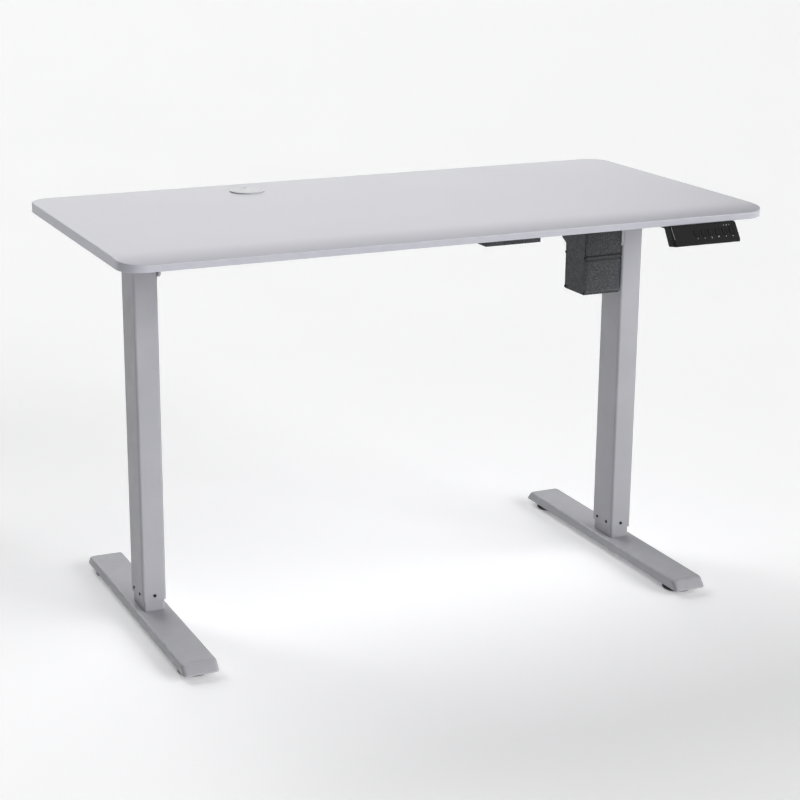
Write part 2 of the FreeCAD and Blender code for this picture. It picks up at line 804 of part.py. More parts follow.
def bracket(side, sign, drop):
    """Steel plate on the inner face of a column, with tabs that carry the two rails."""
    made = body(f"head_bracket_{side}", sign * (BRACKET_FACE + S.bracket_thick / 2), 0, UNDER - drop)
    wide = S.rail_place + S.rail_deep / 2 + 3
    narrow = S.bracket_width / 2
    shoulder = drop - S.bracket_shoulder
    outline = sketch(made, "YZ", -S.bracket_thick / 2)
    polygon(outline, [(-narrow, 0), (narrow, 0), (narrow, shoulder), (wide, shoulder),
                      (wide, drop), (-wide, drop), (-wide, shoulder), (-narrow, shoulder)])
    plate = pad(outline, S.bracket_thick)

    def low_corner(edge):
        return runs_along(0)(edge) and edge.BoundBox.ZMax < 1

    soften(plate, S.bracket_corner, low_corner)
    entry = sketch(made, "YZ", -S.bracket_thick / 2)
    circle(entry, S.bush_radius, 0, drop - S.rod_below_top)
    pocket(entry, S.bracket_thick)
    tabs = sketch(made, "XY", drop - S.rail_tall - S.tab_thick)
    middle = -sign * (S.bracket_thick / 2 + S.tab_length / 2 - 0.5)
    for way in (-1, 1):
        rectangle(tabs, S.tab_length + 1, S.rail_deep, middle, way * S.rail_place)
    pad(tabs, S.tab_thick)
    holes = sketch(made, "XY", drop - S.rail_tall - S.tab_thick - 1)
    for way in (-1, 1):
        circle(holes, S.bolt_radius + S.hole_gap, middle, way * S.rail_place)
    pocket(holes, S.tab_thick + 1.5)


def rail(name, way):
    """Rectangular tube that joins the two column heads."""
    length = BRACKET_FACE * 2
    made = body(name, 0, way * S.rail_place, UNDER - S.rail_tall)
    outline = sketch(made, "YZ", -length / 2)
    rectangle(outline, S.rail_deep, S.rail_tall, 0, S.rail_tall / 2)
    pad(outline, length)
    hollow = sketch(made, "YZ", -length / 2)
    rectangle(hollow, S.rail_deep - S.rail_wall * 2, S.rail_tall - S.rail_wall * 2, 0,
              S.rail_tall / 2)
    pocket(hollow, length)
    holes = sketch(made, "XY", -1)
    for sign in SIDES.values():
        circle(holes, S.bolt_radius + S.hole_gap, sign * RAIL_BOLT, 0)
    pocket(holes, S.rail_wall + 1.5)


RAIL_BOLT = BRACKET_FACE - S.tab_length / 2 + 0.5


def rail_bolts():
    """Bolts up through the bracket tabs into the rails."""
    profile = headed(S.bolt_radius, S.bolt_head, S.bolt_head_tall, S.tab_thick + S.rail_wall + 5)
    low = UNDER - S.rail_tall - S.tab_thick
    solids = []
    for side, sign in SIDES.items():
        for way in (-1, 1):
            place = (sign * RAIL_BOLT, way * S.rail_place, low)
            solids.append(turned_solid(f"rail_bolt_{side}_{way + 1}", profile, place, (0, 0, 1)))
    group("rail_bolts", solids)


WHEEL_PLACE = BRACKET_FACE - S.housing_width / 2


def drive_rod():
    """Hexagonal rod that turns both gearboxes together, with its gears and bushes."""
    end = COLUMN - S.bevel_radius + S.bevel_face
    rod = body("drive_rod", 0, 0, ROD)
    outline = sketch(rod, "YZ", -end)
    hexagon(outline, S.rod_flats)
    pad(outline, end * 2)

    gears = body("rod_gears", 0, 0, ROD)
    large = S.bevel_radius - S.gear_gap
    start = COLUMN - S.bevel_radius
    wheel = sketch(gears, "YZ", WHEEL_PLACE - S.wheel_thick / 2)
    circle(wheel, S.wheel_radius)
    pad(wheel, S.wheel_thick)
    parts.remove(gears)
    cones = [gears]
    for side, sign in SIDES.items():
        profile = [(0, 0), (large, 0), (large - S.bevel_face, S.bevel_face), (0, S.bevel_face)]
        cones.append(turned_solid(f"bevel_{side}", profile, (sign * start, 0, ROD), (sign, 0, 0)))
    blanks = doc.addObject("Part::Compound", "gear_blanks")
    blanks.Links = cones
    core = doc.addObject("Part::Prism", "gear_core")
    core.Polygon = 6
    reach = (S.rod_flats + 0.1) / math.sqrt(3)
    core.setExpression("Circumradius", reach.text)
    core.setExpression("Height", (COLUMN * 2).text)
    core.Placement = FreeCAD.Placement(FreeCAD.Vector(-COLUMN.number, 0, ROD.number),
                                       FreeCAD.Rotation(FreeCAD.Vector(0, 1, 0), 90))
    made = doc.addObject("Part::Cut", "rod_gears_cut")
    made.Base = blanks
    made.Tool = core
    made.Label = "drive_gears"
    parts.append(made)

    inner = S.rod_flats / math.sqrt(3) + 0.3
    bush = [(inner, -2), (S.bush_radius + 2, -2), (S.bush_radius + 2, 0), (S.bush_radius - 0.1, 0),
            (S.bush_radius - 0.1, S.bracket_thick), (inner, S.bracket_thick)]
    solids = [turned_solid(f"rod_bush_{side}", bush, (sign * BRACKET_FACE, 0, ROD), (sign, 0, 0))
              for side, sign in SIDES.items()]
    group("rod_bushes", solids)


# ---------------------------------------------------------------- motor

def housing_outline(inset=0):
    """Side outline of the motor housing, stepped out at the back near the top."""
    low = S.housing_tall
    front, back = -S.housing_front + inset, S.housing_back - inset
    shelf = S.shoulder_back - inset
    top = low - inset
    return [(front, inset), (back, inset), (back, S.shoulder_low + inset),
            (shelf, S.shoulder_high + inset), (shelf, S.shoulder_low + S.shoulder_tall - inset),
            (back, S.shoulder_low + S.shoulder_tall - inset), (back, top), (front, top)]


def boss_places():
    front, back = -S.housing_front + S.boss_inset, S.housing_back - S.boss_inset
    return [(y, z) for y in (front, back) for z in (S.boss_low, S.boss_high)]


def motor_unit():
    """Black housing on the inner side of the right column, with motor, worm and screws."""
    low = UNDER - S.housing_below_top - S.housing_tall
    left = BRACKET_FACE - S.housing_width
    shell = body("motor_housing", left, 0, low)
    outline = sketch(shell, "YZ", S.cover_thick)
    polygon(outline, housing_outline())
    pad(outline, S.housing_width - S.cover_thick)
    hollow = sketch(shell, "YZ", S.cover_thick)
    polygon(hollow, housing_outline(S.housing_wall))
    pocket(hollow, S.housing_width - S.cover_thick - S.housing_wall)
    grooves = sketch(shell, "XZ", S.housing_front - S.groove_deep)
    for way in (-1, 1):
        level = S.boss_high + way * (S.boss_radius + S.groove_wide / 2)
        rectangle(grooves, S.housing_width, S.groove_wide, S.housing_width / 2, level)
    pocket(grooves, S.groove_deep + 1)
    bosses = sketch(shell, "YZ", S.cover_thick)
    for y, z in boss_places():
        circle(bosses, S.boss_radius, y, z)
    pad(bosses, S.housing_width - S.cover_thick - 4)
    holes = sketch(shell, "YZ", S.cover_thick)
    for y, z in boss_places():
        circle(holes, S.pin_radius + S.hole_gap, y, z)
    pocket(holes, 30)
    entry = sketch(shell, "YZ", S.housing_width - S.housing_wall - 1)
    circle(entry, S.bush_radius + 2.4, 0, ROD - low)
    pocket(entry, S.housing_wall + 2)

    cover = body("motor_cover", left, 0, low)
    outline = sketch(cover, "YZ")
    polygon(outline, housing_outline())
    pad(outline, S.cover_thick)
    bosses = sketch(cover, "YZ")
    for y, z in boss_places():
        circle(bosses, S.boss_radius, y, z)
    pad(bosses, S.cover_thick)
    holes = sketch(cover, "YZ")
    for y, z in boss_places():
        circle(holes, S.pin_radius + S.hole_gap, y, z)
    circle(holes, S.rod_flats / math.sqrt(3) + 1, 0, ROD - low)
    pocket(holes, S.cover_thick)
    profile = headed(S.pin_radius, S.pin_head, S.pin_head_tall, 24)
    group("motor_screws", [turned_solid(f"motor_screw_{i}", profile, (left, y, low + z), (1, 0, 0))
                           for i, (y, z) in enumerate(boss_places())])

    offset = -(S.wheel_radius + S.worm_radius + S.gear_gap)
    floor = low + S.housing_wall
    can = body("motor", WHEEL_PLACE, offset, floor)
    turned(can, [(0, 0), (S.motor_radius, 0), (S.motor_radius, S.motor_tall),
                 (S.motor_shaft + 0.3, S.motor_tall), (S.motor_shaft + 0.3, S.motor_tall - 30),
                 (0, S.motor_tall - 30)])
    plate = block("motor_plate", S.housing_width - S.cover_thick - S.housing_wall - 0.4,
                  S.housing_front + S.housing_back - S.housing_wall * 2 - 0.4, 3,
                  left + (S.housing_width + S.cover_thick - S.housing_wall) / 2,
                  (S.housing_back - S.housing_front) / 2, floor + S.motor_tall)
    way = sketch(plate, "XY")
    circle(way, S.motor_shaft + 0.3, WHEEL_PLACE - left - (S.housing_width + S.cover_thick
                                                            - S.housing_wall) / 2,
           offset - (S.housing_back - S.housing_front) / 2)
    pocket(way, 3)
    shaft_low = floor + S.motor_tall - 29.5
    worm_low = ROD - shaft_low - S.worm_length / 2
    worm = body("worm_shaft", WHEEL_PLACE, offset, shaft_low)
    turned(worm, [(0, 0), (S.motor_shaft, 0), (S.motor_shaft, worm_low),
                  (S.worm_radius, worm_low), (S.worm_radius, worm_low + S.worm_length),
                  (0, worm_low + S.worm_length)])


# ---------------------------------------------------------------- control box

def control_box():
    """Flat box screwed under the board by its lid, with the mains inlet at the back."""
    middle = S.control_left + S.control_width / 2
    centre = -S.control_front + S.control_deep / 2
    tall = S.control_tall - LID
    base = UNDER - S.control_tall
    tray = block("control_box", S.control_width, S.control_deep, tall, middle, centre, base)
    soften(tray.Tip, 3, runs_along(2))
    hollow = sketch(tray, "XY", S.control_wall)
    rectangle(hollow, S.control_width - S.control_wall * 2, S.control_deep - S.control_wall * 2)
    pocket(hollow, tall - S.control_wall)
    slot = sketch(tray, "XZ", -S.control_deep / 2)
    rectangle(slot, S.inlet_wide + 0.2, S.inlet_tall + 0.2, 0, tall / 2)
    pocket(slot, S.control_wall)
    cover = block("control_lid", S.control_width + S.lid_ear * 2, S.control_deep, LID, middle, centre,
                  UNDER - LID)
    holes = sketch(cover, "XY")
    for way in (-1, 1):
        circle(holes, S.screw_radius + S.hole_gap, way * (S.control_width / 2 + S.lid_ear / 2), 0)
    pocket(holes, LID)
    inlet = block("power_inlet", S.inlet_wide, S.inlet_deep, S.inlet_tall, middle,
                  centre + S.control_deep / 2 - S.inlet_deep / 2, base + tall / 2 - S.inlet_tall / 2)
    recess = sketch(inlet, "XZ", -S.inlet_deep / 2)
    rectangle(recess, S.inlet_wide - 6, S.inlet_tall - 6, 0, S.inlet_tall / 2)
    pocket(recess, S.inlet_deep - 4)
    block("control_board", S.control_width - S.control_wall * 2 - 4,
          S.control_deep - S.control_wall * 2 - S.inlet_deep - 4, S.board_thick, middle,
          centre - S.inlet_deep / 2, base + S.control_wall)


# ---------------------------------------------------------------- handset

HANDSET_MIDDLE = S.handset_left + S.handset_width / 2
HANDSET_FRONT = FRONT - S.handset_setback
LEAN = math.radians(S.handset_tilt.number)


def on_face(made):
    """Puts a body in the frame of the sloping face: X across, Y up the face, Z out of it."""
    base = FreeCAD.Vector(HANDSET_MIDDLE.number, HANDSET_FRONT.number, UNDER.number)
    turn = FreeCAD.Rotation(FreeCAD.Vector(1, 0, 0), 90 - S.handset_tilt.number)
    made.Placement = FreeCAD.Placement(base, turn)
    for axis, value in zip("xyz", (HANDSET_MIDDLE, HANDSET_FRONT, UNDER)):
        made.setExpression(f"Placement.Base.{axis}", value.text)


def button_places():
    """Middles of the six buttons on the face, from left to right."""
    last = S.handset_width / 2 - S.button_right
    return [(last - S.button_pitch * (5 - step), -S.button_down) for step in range(6)]


def handset():
    """Wedge under the front edge whose face slopes up towards the user."""
    along, into = (math.sin(LEAN), math.cos(LEAN)), (math.cos(LEAN), math.sin(LEAN))
    face = S.handset_face
    set_in = S.handset_plate
    top = (set_in * into[0] + set_in * into[1] * math.tan(LEAN), as_size(0))
    low = (-face * along[0] + set_in * into[0], -face * along[1] - set_in * into[1])
    heel = (S.handset_deep - face * along[0], -face * along[1] - S.handset_sag)
    knee = (S.handset_deep - S.flange_thick * math.tan(LEAN), -S.flange_thick)
    end = S.handset_deep + S.flange_deep
    shell = body("handset_housing", HANDSET_MIDDLE, HANDSET_FRONT, UNDER)
    outline = sketch(shell, "YZ", -S.handset_width / 2)
    polygon(outline, [top, low, heel, knee, (end, -S.flange_thick), (end, 0)])
    bar = pad(outline, S.handset_width)
    soften(bar, S.handset_round, lambda edge: runs_along(0)(edge)
           and edge.BoundBox.ZMax < heel[1].number + 0.5)
    holes = sketch(shell, "XY", -S.flange_thick - 1)
    for x, y in handset_screw_places():
        circle(holes, S.screw_radius + S.hole_gap, x - HANDSET_MIDDLE, y - HANDSET_FRONT)
    pocket(holes, S.flange_thick + 2)
    on_slope = sketch(shell, "YZ", -S.handset_width / 2 + 4)
    hollow_depth = 10

    def local(down, deep):
        return (-down * along[0] + deep * into[0], -down * along[1] - deep * into[1])

    polygon(on_slope, [local(S.button_down - 12, set_in - 1), local(S.button_down + 12, set_in - 1),
                       local(S.button_down + 12, set_in + hollow_depth),
                       local(S.button_down - 12, set_in + hollow_depth)])
    pocket(on_slope, S.handset_width - 8)

    plate = body("handset_face")
    on_face(plate)
    outline = sketch(plate, "XY", -set_in)
    rectangle(outline, S.handset_width, face - 1.2, 0, -face / 2 - 0.6)
    soften(pad(outline, set_in), 6, lambda edge: runs_along(2)(edge)
                   and edge.BoundBox.YMax < -face.number + 1)
    windows = sketch(plate, "XY", -set_in)
    for x, y in button_places():
        rectangle(windows, S.button_wide + S.button_gap * 2, S.button_tall + S.button_gap * 2, x, y)
    cut = pocket(windows, set_in)

    def window_corner(edge):
        inside = abs(edge.CenterOfMass.x) < S.handset_width.number / 2 - 1
        return runs_along(2)(edge) and inside and edge.CenterOfMass.y > -face.number + 4

    soften(cut, 3, window_corner)
    board = body("handset_board")
    on_face(board)
    outline = sketch(board, "XY", -set_in - hollow_depth)
    rectangle(outline, S.handset_width - 10, 20, 0, -S.button_down)
    pad(outline, S.board_thick)

    flange = -set_in - 0.3
    for number, (x, y) in enumerate(button_places(), 1):
        made = body(f"button_{number}")
        on_face(made)
        outline = sketch(made, "XY", flange - 1)
        rectangle(outline, S.button_wide, S.button_tall, x, y)
        cap = soften(pad(outline, 1 - flange + S.button_proud), 2.7, runs_along(2))
        soften(cap, 0.4, lambda edge: edge.BoundBox.ZMin > S.button_proud.number - 0.01)
        skirt = sketch(made, "XY", flange - 1)
        rectangle(skirt, S.button_wide + 2.4, S.button_tall + 2.4, x, y)
        pad(skirt, 1)


# ---------------------------------------------------------------- the whole desk

desktop()
grommet()
for side, sign in SIDES.items():
    foot(side, sign)
    levelling_foot(side, sign, "front", -1)
    levelling_foot(side, sign, "back", 1)
    outer_column(side, sign)
    lift_nut(side, sign)
    spindle(side, sign)
    gearbox(side, sign)
    arm(side, sign)
PAIRS = {"foot_plates": foot_closer, "base_plates": inner_column, "lower_glides": lower_glide,
         "upper_glides": upper_glide, "bearings": bearing, "head_plates": head_plate}
for name, build in PAIRS.items():
    group(name, [build(side, sign) for side, sign in SIDES.items()])
bracket("left", -1, S.left_bracket_drop)
bracket("right", 1, S.right_bracket_drop)
rail("rail_front", -1)
rail("rail_back", 1)
foot_nuts()
base_bolts()
glide_screws()
rail_bolts()
drive_rod()
motor_unit()
control_box()
handset()
wood_screws()

doc.recompute()
for thing in doc.Objects:
    if "Invalid" in thing.State or "Error" in thing.State:
        raise ValueError(f"{thing.Label}: {thing.State}")
for part in parts:
    if part.Shape.isNull() or not part.Shape.isValid() or part.Shape.Volume <= 0:
        raise ValueError(f"{part.Label}: its shape is not valid")
for part in parts:
    part.Shape.exportStep(f"parts/{part.Label}.step")
print(len(parts), "sub-parts written")
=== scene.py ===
import json
import math

import bmesh
import bpy
import numpy as np
from mathutils import Matrix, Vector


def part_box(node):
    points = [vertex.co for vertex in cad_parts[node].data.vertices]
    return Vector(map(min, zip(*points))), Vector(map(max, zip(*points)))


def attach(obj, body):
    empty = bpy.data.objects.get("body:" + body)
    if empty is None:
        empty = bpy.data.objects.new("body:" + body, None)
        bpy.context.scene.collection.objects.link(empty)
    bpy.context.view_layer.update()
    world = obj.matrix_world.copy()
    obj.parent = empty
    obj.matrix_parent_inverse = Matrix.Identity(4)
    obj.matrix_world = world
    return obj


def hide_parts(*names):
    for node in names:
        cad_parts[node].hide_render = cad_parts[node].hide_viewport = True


# An electrically raised two-column desk in pale grey, with a black motor housing and a black
# handset. Everything is in metres, +Z up, and the user sits on the -Y side.

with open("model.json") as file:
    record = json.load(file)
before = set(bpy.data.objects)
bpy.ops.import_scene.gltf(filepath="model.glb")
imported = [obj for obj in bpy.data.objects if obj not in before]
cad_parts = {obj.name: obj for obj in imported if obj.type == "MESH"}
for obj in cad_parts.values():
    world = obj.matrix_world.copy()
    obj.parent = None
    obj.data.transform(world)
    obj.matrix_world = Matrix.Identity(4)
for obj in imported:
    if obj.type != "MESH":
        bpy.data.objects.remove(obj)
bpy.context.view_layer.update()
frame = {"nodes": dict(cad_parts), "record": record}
MM = 0.001
SLOT_OF = {part["node"]: part["material_slot"] for part in frame["record"]["subparts"]}
BODY_OF = {node: body for body, nodes in frame["record"]["behaviour"]["bodies"].items()
           for node in nodes}


def corners(node):
    """Lowest and highest corner of a CAD node as numpy rows."""
    low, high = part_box(node)
    return np.array(low), np.array(high)


# ---------------------------------------------------------------- finishes

def linear(code):
    """sRGB hex to linear light: c/12.92 below 0.04045, else ((c+0.055)/1.055)^2.4."""
    parts = [int(code[i:i + 2], 16) / 255 for i in (0, 2, 4)]
    return tuple(c / 12.92 if c <= 0.04045 else ((c + 0.055) / 1.055) ** 2.4 for c in parts) + (1,)


def add(tree, kind, links=None, **settings):
    """Adds a node: settings are its properties, links its inputs as values or (node, output)."""
    made = tree.nodes.new(kind)
    for key, value in settings.items():
        setattr(made, key, value)
    for key, value in (links or {}).items():
        if isinstance(value, tuple) and len(value) == 2 and hasattr(value[0], "outputs"):
            tree.links.new(value[0].outputs[value[1]], made.inputs[key])
        else:
            made.inputs[key].default_value = value
    return made


def per_metre(size_mm):
    """Noise scale, in repeats per metre, for a grain of this size in millimetres."""
    return 1000 / size_mm


def start(name, **constants):
    """A material with its shader's constants set, and the object coordinates."""
    made = bpy.data.materials.new(name)
    made.use_nodes = True
    tree = made.node_tree
    shader = tree.nodes["Principled BSDF"]
    for key, value in constants.items():
        shader.inputs[key.replace("_", " ")].default_value = value
    where = (add(tree, "ShaderNodeTexCoord"), "Object")
    return made, tree, shader, where


def mixed(tree, factor, first, second):
    """Two colours mixed by a factor, both given as links or linear colours."""
    made = tree.nodes.new("ShaderNodeMix")
    made.data_type = "RGBA"
    for socket, value in ((made.inputs[0], factor), (made.inputs[6], first),
                          (made.inputs[7], second)):
        if isinstance(value, tuple) and hasattr(value[0], "outputs"):
            tree.links.new(value[0].outputs[value[1]], socket)
        else:
            socket.default_value = value
    return (made, 2)


def drift(tree, where, pale, deep, size_mm, detail=3.0):
    """Slow change between two tones of one colour over a noise of the given size."""
    cloud = add(tree, "ShaderNodeTexNoise",
                {"Vector": where, "Scale": per_metre(size_mm), "Detail": detail})
    level = add(tree, "ShaderNodeMapRange", {"Value": (cloud, 0), "From Min": 0.35,
                                             "From Max": 0.65})
    return mixed(tree, (level, 0), linear(deep), linear(pale))


def edge_wear_and_highlight(tree, where, colour, rim_wear_and_highlight, size_mm, amount):
    """Rubbed tone and painted highlight on the edges: the edge attribute times a patchy noise, scaled by an amount.
    """
    edge = add(tree, "ShaderNodeAttribute", attribute_name="edge")
    patch = add(tree, "ShaderNodeTexNoise", {"Vector": where, "Scale": per_metre(size_mm),
                                             "Detail": 4.0})
    level = add(tree, "ShaderNodeMapRange", {"Value": (patch, 0), "From Min": 0.3, "From Max": 0.7,
                                             "To Max": amount})
    both = add(tree, "ShaderNodeMath", {0: (edge, 2), 1: (level, 0)}, operation="MULTIPLY")
    return mixed(tree, (both, 0), colour, linear(rim_wear_and_highlight))


def roughness(tree, where, shader, low, high, size_mm):
    """Roughness that wanders between two values over patches of the given size."""
    cloud = add(tree, "ShaderNodeTexNoise", {"Vector": where, "Scale": per_metre(size_mm),
                                             "Detail": 3.0})
    level = add(tree, "ShaderNodeMapRange", {"Value": (cloud, 0), "From Min": 0.3, "From Max": 0.7,
                                             "To Min": low, "To Max": high})
    tree.links.new(level.outputs[0], shader.inputs["Roughness"])


def relief(tree, where, shader, grains):
    """Bump from noises laid one on the other, each a (size mm, height mm) pair."""
    before = None
    for size_mm, height_mm in grains:
        cloud = add(tree, "ShaderNodeTexNoise", {"Vector": where, "Scale": per_metre(size_mm),
                                                 "Detail": 2.0})
        links = {"Height": (cloud, 0), "Distance": height_mm * MM, "Strength": 1.0}
        if before:
            links["Normal"] = (before, 0)
        before = add(tree, "ShaderNodeBump", links)
    tree.links.new(before.outputs[0], shader.inputs["Normal"])


def paint(tree, shader, colour):
    tree.links.new(colour[0].outputs[colour[1]], shader.inputs["Base Color"])


def coated_board():
    """Melamine-faced board: satin pale grey with a cool cast, a fine pressed grain that only
    shows where light grazes it, slight clouding, and a paler tone along its edges that is rubbed wear and a painted
    highlight."""
    made, tree, shader, where = start("melamine_board", IOR=1.5)
    colour = drift(tree, where, "BBBBC3", "B8B8C1", 220, 1.0)
    # the pressed grain is about 0.4 mm; drawn at 2.5 mm so that it shows
    fine = add(tree, "ShaderNodeTexNoise", {"Vector": where, "Scale": per_metre(2.5),
                                            "Detail": 2.0})
    level = add(tree, "ShaderNodeMapRange", {"Value": (fine, 0), "From Min": 0.35,
                                             "From Max": 0.65, "To Max": 0.15})
    colour = mixed(tree, (level, 0), colour, linear("ADADB6"))
    # the paler tone on the rim is rubbed wear and a painted edge highlight
    paint(tree, shader, edge_wear_and_highlight(tree, where, colour, "D6D6DB", 30, 0.5))
    roughness(tree, where, shader, 0.33, 0.36, 6)
    relief(tree, where, shader, ((2.5, 0.02), (0.8, 0.01)))
    return made


def powder_coat():
    """Powder-coated steel: pale grey with an even fine orange-peel skin, thinner on corners, where a paler tone
    stands for rubbed coat and a painted highlight.
    """
    made, tree, shader, where = start("powder_coated_steel", IOR=1.5)
    colour = drift(tree, where, "ABABB0", "A6A6AB", 90)
    # the skin's grain is about 0.7 mm; drawn at 1.8 mm so that it shows
    fine = add(tree, "ShaderNodeTexNoise", {"Vector": where, "Scale": per_metre(1.8),
                                            "Detail": 2.0})
    level = add(tree, "ShaderNodeMapRange", {"Value": (fine, 0), "From Min": 0.4,
                                             "From Max": 0.7, "To Max": 0.25})
    colour = mixed(tree, (level, 0), colour, linear("98989E"))
    # paler tone on marked edges: rubbed coat and a painted highlight
    paint(tree, shader, edge_wear_and_highlight(tree, where, colour, "CBCBCE", 12, 0.6))
    roughness(tree, where, shader, 0.40, 0.52, 25)
    relief(tree, where, shader, ((1.8, 0.05), (0.7, 0.02)))
    return made


def moulded_black():
    """Black ABS from a spark-eroded mould: an even stipple, its pale grey flecks painted into the colour as glints
    of sheen.
    """
    made, tree, shader, where = start("spark_textured_abs", IOR=1.53)
    colour = drift(tree, where, "202124", "1B1C1F", 35)
    # the stipple is about 0.5 mm; drawn at 2.6 mm so that it shows. Its spots are mixed towards pale grey as
    # painted glints.
    spots = add(tree, "ShaderNodeTexVoronoi", {"Vector": where, "Scale": per_metre(2.6)})
    level = add(tree, "ShaderNodeMapRange", {"Value": (spots, 0), "From Min": 0.35,
                                             "From Max": 0.75, "To Max": 0.6})
    colour = mixed(tree, (level, 0), colour, linear("505258"))
    paint(tree, shader, edge_wear_and_highlight(tree, where, colour, "5A5B60", 8, 0.5))
    roughness(tree, where, shader, 0.5, 0.66, 12)
    relief(tree, where, shader, ((2.6, 0.14), (0.9, 0.05)))
    return made


def handset_skin():
    """Black ABS-PC with a fine satin texture, smoother than the housing, handled at its edges."""
    made, tree, shader, where = start("satin_black_abs", IOR=1.53)
    shader.inputs["Specular IOR Level"].default_value = 0.12
    colour = drift(tree, where, "0C0D0F", "090A0B", 18)
    paint(tree, shader, edge_wear_and_highlight(tree, where, colour, "3A3B40", 6, 0.6))
    roughness(tree, where, shader, 0.3, 0.42, 9)
    relief(tree, where, shader, ((0.9, 0.015),))
    return made


def button_rubber():
    """Silicone-coated key caps: a soft matt black with a faint dusty bloom."""
    made, tree, shader, where = start("silicone_keys", IOR=1.43)
    shader.inputs["Sheen Weight"].default_value = 0.03
    shader.inputs["Specular IOR Level"].default_value = 0.3
    colour = drift(tree, where, "0B0B0D", "08080A", 6)
    paint(tree, shader, edge_wear_and_highlight(tree, where, colour, "2A2B2F", 3, 0.7))
    roughness(tree, where, shader, 0.55, 0.7, 4)
    relief(tree, where, shader, ((0.5, 0.02),))
    return made


def zinc_steel():
    """Bright zinc plate: cool metal with slight clouding, fine drawn lines and dulled patches."""
    made, tree, shader, where = start("zinc_plated_steel", Metallic=1.0)
    paint(tree, shader, drift(tree, where, "D5D6D8", "B5B7BA", 9))
    roughness(tree, where, shader, 0.22, 0.4, 5)
    relief(tree, where, shader, ((1.2, 0.012), (0.35, 0.006)))
    return made


def black_oxide():
    """Black-oxided screw steel: dark, oily and slightly brown where it has been turned."""
    made, tree, shader, where = start("black_oxide_steel", Metallic=0.6)
    colour = drift(tree, where, "2B2B2D", "1D1D1F", 3)
    paint(tree, shader, edge_wear_and_highlight(tree, where, colour, "6A6A6E", 1.5, 0.7))
    roughness(tree, where, shader, 0.3, 0.5, 2)
    relief(tree, where, shader, ((0.5, 0.01),))
    return made


def cast_alloy():
    """Die-cast zinc-aluminium alloy: dull silver with a flowing sandy skin."""
    made, tree, shader, where = start("die_cast_alloy", Metallic=1.0)
    paint(tree, shader, drift(tree, where, "BFC0C2", "A3A5A8", 14, 5.0))
    roughness(tree, where, shader, 0.42, 0.6, 6)
    relief(tree, where, shader, ((1.6, 0.06), (0.5, 0.03)))
    return made


def natural_nylon():
    """Natural nylon: milky off-white, slightly see-through, with a waxy sheen."""
    made, tree, shader, where = start("natural_nylon", IOR=1.53)
    shader.inputs["Subsurface Weight"].default_value = 0.15
    shader.inputs["Subsurface Scale"].default_value = 0.002
    paint(tree, shader, drift(tree, where, "E6E3D8", "DAD6C9", 12))
    roughness(tree, where, shader, 0.38, 0.5, 7)
    relief(tree, where, shader, ((1.0, 0.02),))
    return made


def solder_mask():
    """Fibreglass board under green solder mask: glossy, with copper runs showing beneath."""
    made, tree, shader, where = start("solder_mask_board", IOR=1.55)
    runs = add(tree, "ShaderNodeTexBrick", {"Vector": where, "Scale": per_metre(60),
                                            "Color1": linear("1E5B34"), "Color2": linear("236539"),
                                            "Mortar": linear("3C8A55"), "Mortar Size": 0.02})
    paint(tree, shader, (runs, 0))
    roughness(tree, where, shader, 0.2, 0.34, 10)
    relief(tree, where, shader, ((2.0, 0.03),))
    return made


def satin_grey_plastic():
    """Injection-moulded grey ABS matched to the board, a touch glossier, with a fine grain."""
    made, tree, shader, where = start("satin_grey_abs", IOR=1.53)
    colour = drift(tree, where, "D0D0D4", "C9C9CE", 20)
    paint(tree, shader, edge_wear_and_highlight(tree, where, colour, "E2E2E5", 5, 0.5))
    roughness(tree, where, shader, 0.34, 0.44, 8)
    relief(tree, where, shader, ((1.0, 0.02),))
    return made


def pale_print_and_highlight():
    """Pad-printed pale ink, also laid as a painted highlight line: slightly uneven, matt, standing a hair above the
    plastic.
    """
    made, tree, shader, where = start("pale_print_and_painted_highlight", IOR=1.5)
    paint(tree, shader, drift(tree, where, "E8E8E8", "C8C8C8", 0.8))
    roughness(tree, where, shader, 0.5, 0.65, 1)
    relief(tree, where, shader, ((0.4, 0.005),))
    return made


FINISH = {"board": coated_board(), "frame_paint": powder_coat(), "black_plastic": moulded_black(),
          "handset_gloss": handset_skin(), "button_black": button_rubber(), "steel": zinc_steel(),
          "black_screw": black_oxide(), "gearbox_alloy": cast_alloy(), "nylon": natural_nylon(),
          "circuit_board": solder_mask(), "grommet": satin_grey_plastic()}
PALE_PRINT_AND_HIGHLIGHT = pale_print_and_highlight()


# ---------------------------------------------------------------- surfaces

def skin(rings, wrap=False):
    """Quads between neighbouring closed rows of points, shape (rows, points, 3). A wrapped skin
    joins its last row to its first; any other is closed by a flat face at each end."""
    rows, count = rings.shape[:2]
    index = np.arange(rows * count).reshape(rows, count)
    low = index if wrap else index[:-1]
    high = np.roll(index, -1, axis=0) if wrap else index[1:]
    quads = np.stack([low, np.roll(low, -1, axis=1), np.roll(high, -1, axis=1), high], axis=-1)
    faces = quads.reshape(-1, 4).tolist()
    if not wrap:
        faces += [index[0, ::-1].tolist(), index[-1].tolist()]
    return rings.reshape(-1, 3), faces


def outward(points, faces):
    """Turns every face round if the volume, a sixth of the sum of a.(b x c), comes out negative."""
    fans = [(f[0], f[i], f[i + 1]) for f in faces for i in range(1, len(f) - 1)]
    a, b, c = (points[np.array(fans)[:, k]] for k in range(3))
    if np.einsum("ij,ij->", a, np.cross(b, c)) < 0:
        faces = [f[::-1] for f in faces]
    return points, faces


def joined(*parts):
    """Several skins as one, with the face numbers of each moved past those before it."""
    points, faces, offset = [], [], 0
    for each in parts:
        some, sides = outward(*each)
        points.append(some)
        faces += [[offset + i for i in side] for side in sides]
        offset += len(some)
    return np.vstack(points), faces


